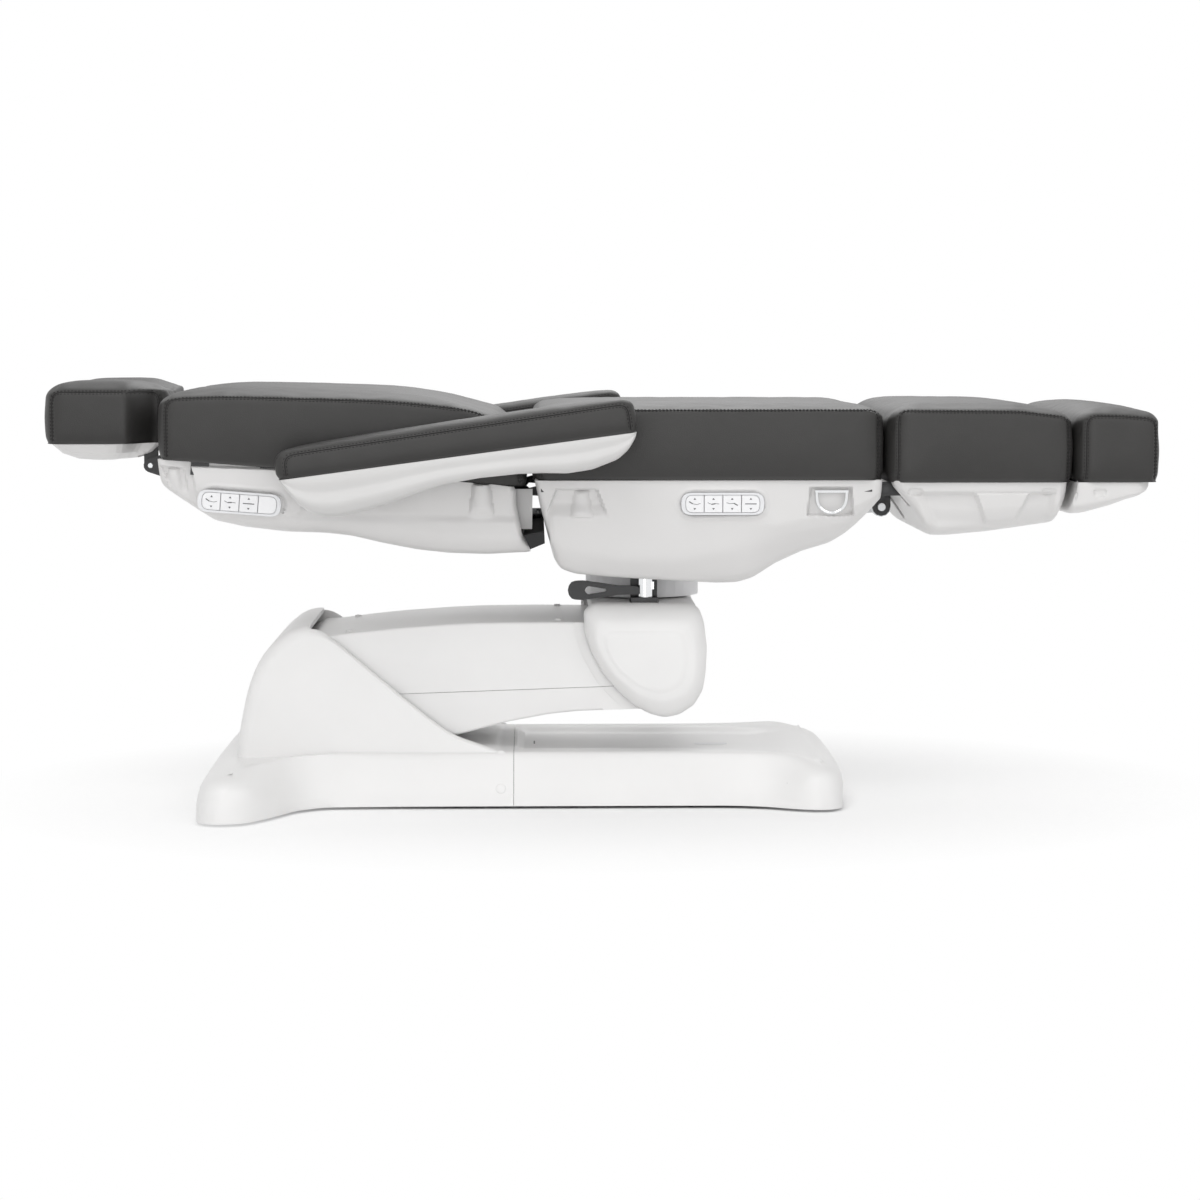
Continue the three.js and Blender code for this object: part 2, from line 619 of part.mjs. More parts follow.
// Knuckle: a steel frame on the knee shaft with the swivel socket on top, in two moulded covers
const knuckle = {
  half: 200, inner: 165, wall: 5, skin: 11, seamHalf: 0.3, plateBelow: 16, frameHalf: 128, socket: 45,
  deckHalf: 58.5, width: 214, height: 200, ahead: 107, rest: 16,
};
const knuckleTopZ = drumBottomZ - 3;
const knuckleOutlineShares = [
  [0, 0.94], [0.065, 1], [0.2, 1], [0.87, 1], [0.935, 0.96], [0.977, 0.83], [1, 0.615], [0.99, 0.395],
  [0.967, 0.24], [0.897, 0.11], [0.776, 0.025], [0.654, 0], [0.533, 0.035], [0.411, 0.105],
  [0.29, 0.225], [0.168, 0.37], [0.065, 0.57], [0.009, 0.74],
];
const knuckleRings = [[22, 0], [16.5, 0.045], [14, 0.1], [5, 0.16], [1.2, 0.24], [0, 0.4], [0, 1]];

function buildKnuckle() {
  const group = new THREE.Group();
  const x0 = swivelX - knuckle.ahead;
  const z0 = knuckleTopZ - knuckle.height;
  const outline = knuckleOutlineShares.map(([x, z]) => [x0 + x * knuckle.width, z0 + z * knuckle.height]);
  const thick = knuckle.half - knuckle.inner;
  const coverOf = (side) => {
    const rings = knuckleRings.map(([away, share]) =>
      sideRing(scaledIn(outline, away), -side * (knuckle.half - Math.min(share, 1) * thick)));
    const toMiddle = sideRing(outline, -side * knuckle.seamHalf);
    const skin = loft([...rings.slice(0, -1), toMiddle]);
    const y = (distance) => -side * distance;
    const span = (a, b) => [Math.min(y(a), y(b)), Math.max(y(a), y(b))];
    const [h0, h1] = span(0, knuckle.half - knuckle.skin);
    const [f0, f1] = span(-overrun, knuckle.inner);
    const roofZ = knuckleTopZ - knuckle.wall;
    const hollow = sidePrism(scaledIn(outline, knuckle.skin), h0, h1);
    return cut(
      skin,
      hollow,
      block(x0 - overrun, x0 + knuckle.width + overrun, f0, f1, 0, roofZ),
      barZ(swivelX, 0, knuckle.socket + knuckle.wall, roofZ - overrun, knuckleTopZ + overrun, 24),
      ...(side > 0 ? [clampWay()] : []),
    );
  };
  addPiece(group, "knuckle_cover_near", whiteShell, coverOf(1));
  addPiece(group, "knuckle_cover_far", whiteShell, coverOf(-1));

  const plateTopZ = knuckleTopZ - knuckle.wall - knuckle.plateBelow / 2;
  const sideOutline = [
    ...arc(kneeX, kneeZ, arm.half, 180, 360, 6),
    [swivelX + knuckle.deckHalf, plateTopZ], [swivelX - knuckle.deckHalf, plateTopZ],
  ];
  const sides = [-1, 1].map((side) => {
    const y0 = side > 0 ? knuckle.frameHalf : -knuckle.frameHalf - plate;
    return sidePrism(sideOutline, y0, y0 + plate);
  });
  const deck = block(swivelX - knuckle.deckHalf, swivelX + knuckle.deckHalf,
    -knuckle.frameHalf - plate, knuckle.frameHalf + plate, plateTopZ - plate, plateTopZ);
  const restTopZ = knuckleTopZ - knuckle.wall - clearance;
  const rests = [-1, 1].flatMap((end) => [-1, 1].map((side) => {
    const x = swivelX + end * (knuckle.deckHalf - knuckle.rest / 2);
    const y = side * (knuckle.frameHalf - knuckle.rest / 2);
    return block(x - knuckle.rest / 2, x + knuckle.rest / 2, y - knuckle.rest / 2, y + knuckle.rest / 2,
      plateTopZ - plate / 2, restTopZ);
  }));
  const socket = barZ(swivelX, 0, knuckle.socket, plateTopZ - 4 * plate, drumBottomZ - clearance, 24);
  const pinX = kneeX + link.aside;
  const pinZ = kneeZ - link.below;
  const pinPlate = sidePrism([
    ...arc(pinX, pinZ, link.eye, 180, 360, 6), [pinX + link.eye, kneeZ], [pinX - link.eye, kneeZ],
  ], -knuckle.frameHalf - plate, -knuckle.frameHalf);
  const body = cut(
    join(...sides, deck, ...rests, socket, pinPlate),
    barZ(swivelX, 0, bore(swivel.spindle), 0, drumTopZ, 20),
    barY(kneeX, kneeZ, bore(arm.kneeShaft), -armHalf, armHalf),
  );
  const pin = barY(pinX, pinZ, link.pin, -knuckle.frameHalf - plate / 2, -link.y0);
  addPiece(group, "knuckle_frame", whiteSteel, join(body, pin));

  // The clamp jaw that holds the swivel drum, on a foot that stands on the knuckle frame
  const jaw = join(
    block(clamp.x0, clamp.x1, clamp.y0, clamp.y1, plateTopZ + clearance, clamp.topZ),
    block(clamp.x0, clamp.x1, clamp.tabY, clamp.y1, clamp.tabZ0, clamp.tabZ1),
  );
  addPiece(group, "swivel_clamp", blackSteel,
    cut(jaw, barZ(swivelX, 0, bore(swivel.drumRadius, 32), 0, rimZ, 32)));
  return group;
}

const clamp = {
  x0: swivelX - 24, x1: swivelX + 22, y0: -122, y1: -96, tabY: -156, topZ: drumTopZ - 5,
  tabZ0: drumBottomZ - 6, tabZ1: drumBottomZ + 5,
};
function clampWay() {
  const side = 8 * clearance;
  return block(clamp.x0 - side, clamp.x1 + side, clamp.tabY - side, clamp.y1 + side,
    drumBottomZ - 2 * overrun, rimZ);
}

// Lock lever on a cam that turns on the clamp's tab
const lock = {
  x: swivelX + 1, y: -140, cam: 12, reach: 136, thick: 12, eyeHalf: 7, paddleHalf: 17, centreZ: 369,
  camTop: 391,
};
function buildLock() {
  const group = new THREE.Group();
  group.position.set(lock.x, lock.y, 0);
  const z = lock.centreZ;
  const paddle = [
    [-lock.cam + 2, -lock.eyeHalf], [-lock.reach * 0.35, -lock.eyeHalf * 1.15], [-lock.reach * 0.8,
      -lock.paddleHalf],
    [-lock.reach * 0.95, -lock.paddleHalf * 0.9], [-lock.reach, 0], [-lock.reach * 0.95,
      lock.paddleHalf * 0.9],
    [-lock.reach * 0.8, lock.paddleHalf], [-lock.reach * 0.35, lock.eyeHalf * 1.15], [-lock.cam + 2,
      lock.eyeHalf],
  ].map(([x, up]) => [x, z + up]);
  const hole = [
    [-lock.reach * 0.5, -lock.eyeHalf * 0.35], [-lock.reach * 0.74, -lock.eyeHalf * 1.1],
    [-lock.reach * 0.78, 0], [-lock.reach * 0.74, lock.eyeHalf * 1.1], [-lock.reach * 0.5,
      lock.eyeHalf * 0.35],
  ].map(([x, up]) => [x, z + up]);
  const camClear = barZ(0, 0, lock.cam + clearance, 0, rimZ, 20);
  const handle = cut(
    sidePrism(rounded(paddle, lock.eyeHalf), -lock.thick / 2, lock.thick / 2),
    sidePrism(rounded(hole, lock.eyeHalf / 2), -lock.thick, lock.thick),
    camClear,
  );
  addPiece(group, "lock_lever", blackSteel, handle);
  const cam = join(
    barZ(0, 0, lock.cam, clamp.tabZ1 + clearance, lock.camTop, 20),
    block(0, lock.cam * 1.2, -lock.cam * 0.6, lock.cam * 0.6, clamp.tabZ1 + 2 * lock.eyeHalf,
      lock.camTop - lock.eyeHalf),
  );
  addPiece(group, "lock_cam", chrome, cam);
  return group;
}

// Swivel carriage: the drum and spindle, two ears for the tilt shaft, and a post for the tilt jack
const tilt = { up: 34, ear: 84, earWide: 20, shaft: 10, jackUp: 112, lane: -48, jackRun: 249 };
const tiltX = swivelX;
const tiltZ = drumTopZ + tilt.up;
const tiltPin = [tiltX, drumTopZ + tilt.jackUp];
const tiltMount = [tiltX + tilt.jackRun, tiltPin[1]];

function buildCarriage() {
  const group = new THREE.Group();
  const drum = barZ(swivelX, 0, swivel.drumRadius, drumBottomZ, drumTopZ, 32);
  const spindle = barZ(swivelX, 0, swivel.spindle, drumBottomZ - 2 * overrun, drumTopZ, 20);
  const ears = [-1, 1].map((side) => {
    const y0 = side > 0 ? tilt.ear : -tilt.ear - plate;
    const outline = [
      ...arc(tiltX, tiltZ, tilt.earWide, 0, 180, 6),
      [tiltX - tilt.earWide, drumTopZ - plate], [tiltX + tilt.earWide, drumTopZ - plate],
    ];
    return sidePrism(outline, y0, y0 + plate);
  });
  const body = join(drum, spindle, ...ears, fork(tiltPin, tilt.lane, drumTopZ - plate));
  addPiece(group, "swivel_carriage", whiteSteel,
    cut(body, barY(tiltX, tiltZ, bore(tilt.shaft), -2 * tilt.ear, 2 * tilt.ear)));
  return group;
}

// Belly of a moulded shell: sections along X, each the same side profile drawn to its own depth
const bellyShares = [[1, 0], [1, 0.46], [0.985, 0.6], [0.93, 0.78], [0.8, 0.95], [0.6, 1]];
const hollowShares = [[1, 0], [1, 0.46], [0.92, 0.78], [0.6, 1]];

function bellyRings(stations, shares, halfWidth, rim, lean, shrink, lift0) {
  return stations.map(([x, depth]) => {
    const side = shares.map(([y, down], i) => {
      const z = i ? -down * Math.max(depth - shrink, shrink) : lift0;
      return [x + lean * z, y * (halfWidth - shrink), rim + z];
    });
    const near = side.map(([u, y, z]) => new THREE.Vector3(u, -y, z));
    const far = side.map(([u, y, z]) => new THREE.Vector3(u, y, z)).reverse();
    return [...near, ...far];
  });
}

function depthAt(stations, x) {
  const i = Math.max(1, stations.findIndex(([at]) => at >= x));
  const [a, b] = [stations[i - 1], stations[i]];
  return a[1] + ((b[1] - a[1]) * (x - a[0])) / (b[0] - a[0]);
}

// The stations that a straight line between their neighbours misses by more than a share of the wall
function thinned(stations) {
  return stations.filter(([x, depth], i) => {
    if (i === 0 || i === stations.length - 1) return true;
    return Math.abs(depthAt([stations[i - 1], stations[i + 1]], x) - depth) > shellWall / 2;
  });
}

// Stations are shares of the shell's length and depth. Ends are closed by a wall unless left open
function bellyShell({ x0, length, depth, halfWidth, rim, shares, lean = 0, openRight = false }) {
  const stations = shares.map(([x, down]) => [x0 + x * length, down * depth]);
  const first = stations[0][0] + shellWall;
  const last = stations[stations.length - 1][0] + (openRight ? overrun : -shellWall);
  const between = thinned(stations).filter(([x]) => x > first + shellWall && x < last - shellWall);
  const clampX = (x) => Math.min(Math.max(x, stations[0][0]), stations[stations.length - 1][0]);
  const innerStations = [
    [first, depthAt(stations, clampX(first) + 0.001)], ...between, [last, depthAt(stations, clampX(last))],
  ];
  const outer = loft(bellyRings(stations, bellyShares, halfWidth, rim, lean, 0, 0));
  const inner = loft(bellyRings(innerStations, hollowShares, halfWidth, rim, lean, shellWall, overrun));
  return { outer, inner, shell: cut(outer, inner) };
}

// A recess in a shell's near or far side, lined so that it stays closed
function pocket(parts, outline, halfWidth, deep, sides = [-1, 1]) {
  let shell = parts.shell;
  sides.forEach((side) => {
    const span = (from, to) => [Math.min(side * from, side * to), Math.max(side * from, side * to)];
    const [l0, l1] = span(halfWidth + overrun, halfWidth - deep - shellWall);
    const [p0, p1] = span(halfWidth + overrun, halfWidth - deep);
    const liner = sidePrism(inset(outline, -shellWall), l0, l1).intersect(parts.outer);
    shell = cut(join(shell, liner), sidePrism(outline, p0, p1));
  });
  return shell;
}

// Turns a solid about Y at a point, head end up
function tilted(solid, degrees, x, z) {
  const geometry = geometryOf(solid);
  geometry.translate(-x, 0, -z);
  geometry.rotateY(THREE.MathUtils.degToRad(degrees));
  geometry.translate(x, 0, z);
  return solidOf(geometry);
}

// Cushion: its plan drawn up through rings, with sides drawn in and a crowned top
const padRingShares = [[0.5, 0, 0], [0.08, 0.07, 0], [0.12, 0.5, 0], [0, 1, 0]];
const crownShares = [[0.35, 0.22], [1.4, 0.55], [3.2, 0.78], [6.5, 0.93]];

function padPlan(x0, x1, half, corner, draw, parts = 3) {
  const corners = rounded([[x0, -half], [x1, -half], [x1, half], [x0, half]], corner, 3);
  const points = [];
  corners.forEach(([x, y], i) => {
    points.push([x, y]);
    const [nx, ny] = corners[(i + 1) % corners.length];
    if (Math.hypot(nx - x, ny - y) < 2 * corner) return;
    for (let j = 1; j < parts; j++) {
      const share = j / parts;
      const pull = draw * Math.sin(Math.PI * share);
      const along = [x + (nx - x) * share, y + (ny - y) * share];
      points.push(nx === x ? [along[0] - Math.sign(x - (x0 + x1) / 2) * pull, along[1]]
        : [along[0], along[1] - Math.sign(y) * pull]);
    }
  });
  return points;
}

function cushion(plan, bottom, thickness, crown, edge, slant = 0) {
  const xs = plan.map(([x]) => x);
  const ys = plan.map(([, y]) => y);
  const middle = [(Math.min(...xs) + Math.max(...xs)) / 2, (Math.min(...ys) + Math.max(...ys)) / 2];
  const halves = [(Math.max(...xs) - Math.min(...xs)) / 2, (Math.max(...ys) - Math.min(...ys)) / 2];
  const ringAt = (away, z, lean) => plan.map(([x, y]) => {
    const shrink = halves.map((half) => Math.max(1 - away / half, 0.12));
    const px = middle[0] + (x - middle[0]) * shrink[0];
    return new THREE.Vector3(px, middle[1] + (y - middle[1]) * shrink[1],
      z + lean * slant * (px - middle[0]));
  });
  const sides = padRingShares.map(([away, up]) => ringAt(away * edge, bottom + up * thickness, up));
  const tops = crownShares.map(([away, up]) => ringAt(away * edge, bottom + thickness + up * crown, 1));
  const last = ringAt(Math.max(...halves), bottom + thickness + crown, 1);
  return loft([...sides, ...tops, last]);
}

// A small control panel: a bezel with a sunk field, and four keys that rock or press in it
const panel = { length: 139, height: 37, proud: 3.5, deep: 4.5, field: 125, fieldHeight: 30, key: 28.6,
  gap: 0.8, keyThick: 3.6, floor: 2 };
const pressing = "reset_key";

function buildPanel(group, prefix, keys, x, z, faceY, turn) {
  const face = faceY - panel.proud;
  const back = faceY + panel.deep;
  const box = (half, high) => [[x - half, z - high], [x + half, z - high], [x + half, z + high],
    [x - half, z + high]];
  const rim = rounded(box(panel.length / 2, panel.height / 2), panel.height / 2.2, 4);
  const field = rounded(box(panel.field / 2, panel.fieldHeight / 2), panel.height / 3, 4);
  const floorY = back - panel.floor;
  const pitch = panel.field / keys.length;
  const ribs = keys.map((name, i) => {
    const cx = x - panel.field / 2 + (i + 0.5) * pitch;
    const rise = name.endsWith(pressing) ? panel.gap : 2 * panel.gap;
    return block(cx - pitch / 4, cx + pitch / 4, floorY - rise, floorY + clearance, z - panel.gap,
      z + panel.gap);
  });
  const bezel = join(cut(sidePrism(rim, face, back), sidePrism(field, face - overrun, floorY)), ...ribs);
  addPiece(group, prefix + "_keypad", silverKeys, tilted(bezel, turn, x, z));
  keys.forEach((name, i) => {
    const cx = x - panel.field / 2 + (i + 0.5) * pitch;
    const half = pitch / 2 - panel.gap;
    const strip = [[cx - half, z - panel.fieldHeight], [cx + half, z - panel.fieldHeight],
      [cx + half, z + panel.fieldHeight], [cx - half, z + panel.fieldHeight]];
    const top = floorY - 2 * panel.gap - clearance;
    const key = sidePrism(inset(field, panel.gap), top - panel.keyThick,
      top).intersect(sidePrism(strip, -rimZ, rimZ));
    addPiece(group, name, whiteKeys, tilted(key, turn, x, z));
  });
}
const panelHole = (x, z, turn) => {
  const half = panel.length / 2 + clearance;
  const high = panel.height / 2 + clearance;
  const box = [[x - half, z - high], [x + half, z - high], [x + half, z + high], [x - half, z + high]];
  const angle = THREE.MathUtils.degToRad(-turn);
  const outline = rounded(box, panel.height / 2.2, 4);
  return outline.map(([u, v]) => [
    x + (u - x) * Math.cos(angle) - (v - z) * Math.sin(angle),
    z + (u - x) * Math.sin(angle) + (v - z) * Math.cos(angle),
  ]);
};

// The back turns about a line above its foot end, on two arc rails that the seat frame carries
const backTilt = 4.35;
const backPivot = [seatLeftX - backGap - backPad.endRound, rimZ + 38];
const arcRail = { radius: 100, half: 6, y0: shellHalf * 0.667, y1: shellHalf * 0.667 + 8, from: -128,
  to: -36, pin: 5, shoe: 9 };
const backPin = [backPivot[0] + 65, backPivot[1] - 113];
const backMount = [seatLeftX + 348, rimZ - 82];
const backLane = 110;

// Seat: frame, shell, cushion, control panel and tie ring
const seatShellX = seatLeftX + 8;
const seatShellLength = seatPad.length - 14;
const seatDepthShares = [
  [0, 0.1], [0.014, 0.21], [0.043, 0.56], [0.062, 0.77], [0.081, 0.855], [0.121, 0.9], [0.247, 0.945],
  [0.44, 0.988], [0.536, 1], [0.614, 0.98], [0.662, 0.885], [0.731, 0.73], [0.8, 0.645], [0.866, 0.573],
  [0.909, 0.47], [0.943, 0.39], [0.981, 0.27], [1, 0.21],
];
const legHinge = [seatRightX + legGap, rimZ - 12];
const legPin = [legHinge[0] + 24, legHinge[1] - 45];
const legMount = [seatLeftX + 278, rimZ - 82];
const hinge = { y: shellHalf * 0.833, pin: 7, lug: 12 };
const frameRail = { y0: shellHalf / 2, y1: shellHalf / 2 + 25, deep: 27, bar: 14 };
const seatPanel = [seatLeftX + 323, rimZ - 34];
const tieRing = { x: seatLeftX + 506.5, halfWidth: 25, wire: 3, topZ: rimZ - 14, drop: 36, deep: 14 };

const jacks = {
  lift: { pin: liftPin, mount: liftMount, lane: 0, stroke: -101, tubeLength: 275, motorSide: [1, 0] },
  back: { pin: backPin, mount: backMount, lane: backLane, stroke: 158, tubeLength: 240, motorSide: [1, 0] },
  leg: { pin: legPin, mount: legMount, lane: 0, stroke: -63, tubeLength: 225, motorSide: [1, 0] },
  tilt: { pin: tiltPin, mount: tiltMount, lane: tilt.lane, stroke: -20, tubeLength: 175,
    motorSide: [-1, 0] },
};

function buildSeat() {
  const group = new THREE.Group();
  const left = seatShellX;
  const parts = bellyShell({
    x0: left, length: seatShellLength, depth: seatDepth, halfWidth: shellHalf, rim: rimZ,
    shares: seatDepthShares,
  });
  const postPocket = rounded([
    [seatLeftX + 45, rimZ - 10], [seatLeftX + 112, rimZ - 10], [seatLeftX + 133,
      rimZ - 56], [seatLeftX + 24, rimZ - 56],
  ], 10);
  const ringPocket = rounded([
    [seatLeftX + 470, rimZ - 7], [seatLeftX + 541, rimZ - 7], [seatLeftX + 545,
      rimZ - 54], [seatLeftX + 466, rimZ - 54],
  ], 8);
  parts.shell = pocket(parts, postPocket, shellHalf, tieRing.deep);
  parts.shell = pocket(parts, ringPocket, shellHalf, tieRing.deep);
  parts.shell = pocket(parts, panelHole(seatPanel[0], seatPanel[1], 0), shellHalf,
    panel.deep + clearance, [-1]);
  const ringY = -shellHalf + tieRing.deep - tieRing.wire - 2;
  const clip = cut(
    block(tieRing.x - 11, tieRing.x + 11, ringY - 2 * tieRing.wire, -shellHalf + tieRing.deep + 1,
      tieRing.topZ - 2 * tieRing.wire, tieRing.topZ + 2 * tieRing.wire),
    barX(ringY, tieRing.topZ, tieRing.wire + 2 * clearance, tieRing.x - overrun, tieRing.x + overrun, 12),
  );
  const drumWay = block(swivelX - swivel.drumRadius - 26, swivelX + 69, -swivel.drumRadius - 12,
    swivel.drumRadius + 12,
    drumTopZ - overrun, drumTopZ + overrun);
  const railWays = [-1, 1].map((side) => {
    const y = (side * (arcRail.y0 + arcRail.y1)) / 2;
    const half = (arcRail.y1 - arcRail.y0) / 2 + 3;
    return block(left - overrun, left + 30, y - half, y + half, rimZ - 36, rimZ + overrun);
  });
  const lugWays = [-1, 1].map((side) =>
    block(seatRightX - 30, seatRightX + overrun, side * hinge.y - 16, side * hinge.y + 16, rimZ - 32,
      rimZ + overrun));
  const rodWay = block(left - overrun, left + 70, backLane - 16, backLane + 16, rimZ - 116, rimZ - 24);
  const legWay = block(seatRightX - 80, seatRightX + overrun, -26, 26, rimZ - 92, rimZ - 14);
  addPiece(group, "seat_shell", whiteShell,
    cut(join(parts.shell, clip), drumWay, ...railWays, ...lugWays, rodWay, legWay));

  const inner = shellHalf - shellWall - clearance;
  const top = rimZ - clearance;
  const rails = [-1, 1].map((side) => {
    const [y0, y1] = side > 0 ? [frameRail.y0, frameRail.y1] : [-frameRail.y1, -frameRail.y0];
    return block(left + 20, seatRightX - 20, y0, y1, top - frameRail.deep, top);
  });
  const crossXs = [[left + 11, left + 31], [swivelX - 30, swivelX + 30],
    [tiltMount[0] - 10, tiltMount[0] + 10], [seatRightX - 40, seatRightX - 20]];
  const crosses = crossXs.map(([x0, x1]) => block(x0, x1, -inner, inner, top - frameRail.bar, top));
  const spine = block(left + 11, seatRightX - 20, -20, 20, top - frameRail.bar, top);
  const spur = block(backMount[0] - 20, backMount[0] + 20, 0, frameRail.y0 + 5, top - frameRail.bar, top);
  const tiltLugs = [-1, 1].map((side) => {
    const y0 = side > 0 ? tilt.ear - 2 - plate : -tilt.ear + 2;
    const outline = [...arc(tiltX, tiltZ, tilt.earWide, 180, 360, 6), [tiltX + 30, top - 5],
      [tiltX - 30, top - 5]];
    return sidePrism(outline, y0, y0 + plate);
  });
  const [px, pz] = backPivot;
  const outerR = arcRail.radius + arcRail.half;
  const innerR = arcRail.radius - arcRail.half;
  const railOutline = [
    ...arc(px, pz, outerR, arcRail.from, arcRail.to, 12), [left + 22, top - 26], [left + 22, top - 4],
    ...arc(px, pz, innerR, arcRail.to + 2, arcRail.from, 12),
  ];
  const arcs = [-1, 1].map((side) => {
    const [y0, y1] = side > 0 ? [arcRail.y0, arcRail.y1] : [-arcRail.y1, -arcRail.y0];
    return sidePrism(railOutline, y0, y1);
  });
  const hingeLugs = [-1, 1].map((side) => {
    const y0 = side * (hinge.y + plate / 2) - plate / 2;
    const outline = [...arc(legHinge[0], legHinge[1], hinge.lug, -90, 90, 6),
      [seatRightX - 40, top], [seatRightX - 40, top - 2 * hinge.lug]];
    return join(sidePrism(outline, y0, y0 + plate),
      barY(legHinge[0], legHinge[1], hinge.pin, side * hinge.y - 1.6 * plate,
        side * hinge.y + 1.6 * plate));
  });
  const frame = cut(
    join(...rails, ...crosses, spine, spur, ...tiltLugs),
    barY(tiltX, tiltZ, bore(tilt.shaft), -armHalf, armHalf),
  );
  addPiece(group, "seat_frame", blackSteel, join(frame, ...arcs, ...hingeLugs,
    ...[[tiltMount, tilt.lane], [legMount, 0], [backMount, backLane]].map(([mount, lane]) =>
      fork(mount, lane, top - 5, 2 * jack.eyeOuter, false))));
  addPiece(group, "tilt_pivot_shaft", greySteel,
    barY(tiltX, tiltZ, tilt.shaft, -tilt.ear - 2 * plate, tilt.ear + 2 * plate));

  const plan = padPlan(seatLeftX, seatRightX, padHalf, 26, 3);
  addPiece(group, "seat_cushion", greyPad,
    cushion(plan, rimZ + clearance, seatPad.thickness, seatPad.crown, seatPad.edge));
  buildPanel(group, "seat", ["seat_back_key", "seat_tilt_key", "seat_leg_key", "seat_lift_key"],
    seatPanel[0], seatPanel[1], -shellHalf, 0);

  // Tie ring: a closed wire D that hangs from the clip in its pocket
  const half = tieRing.halfWidth;
  const bow = arc(0, -tieRing.drop + half, half, 180, 360, 6);
  const wire = [[-half, 0], ...bow,
    [half, 0]].map(([x, z]) => new THREE.Vector3(tieRing.x + x, ringY, tieRing.topZ + z));
  const section = new THREE.Shape(arc(0, 0, tieRing.wire, 0, 315,
    7).map(([u, v]) => new THREE.Vector2(u, v)));
  const extrudePath = new THREE.CatmullRomCurve3(wire, false, "centripetal");
  const bars = [
    barX(ringY, tieRing.topZ, tieRing.wire, tieRing.x - half - tieRing.wire,
      tieRing.x + half + tieRing.wire, 8),
    solidOf(new THREE.ExtrudeGeometry(section, { extrudePath, steps: 18, bevelEnabled: false })),
  ];
  addPiece(group, "tie_ring", chrome, join(...bars));
  return group;
}

// Back: frame with shoes on the arc rails, shell, cushion and control panel
const backShellLength = backPad.length + 1;
const backDepth = 117;
const backDepthShares = [
  [0, 0.316], [0.07, 0.53], [0.142, 0.77], [0.223, 0.83], [0.333, 0.87], [0.437, 0.85], [0.511, 0.863],
  [0.6, 0.94], [0.693, 0.996], [0.783, 1], [0.966, 0.928], [1, 0.88],
];
const armPivot = [backPivot[0] - 234, backPivot[1] - 52];
const armPin = 12;
const backFoot = [backFootX, rimZ - 6];
const headTube = { radius: 7, y: 120, below: 11 };
const headHinge = [backHeadX - 34, rimZ + 23];

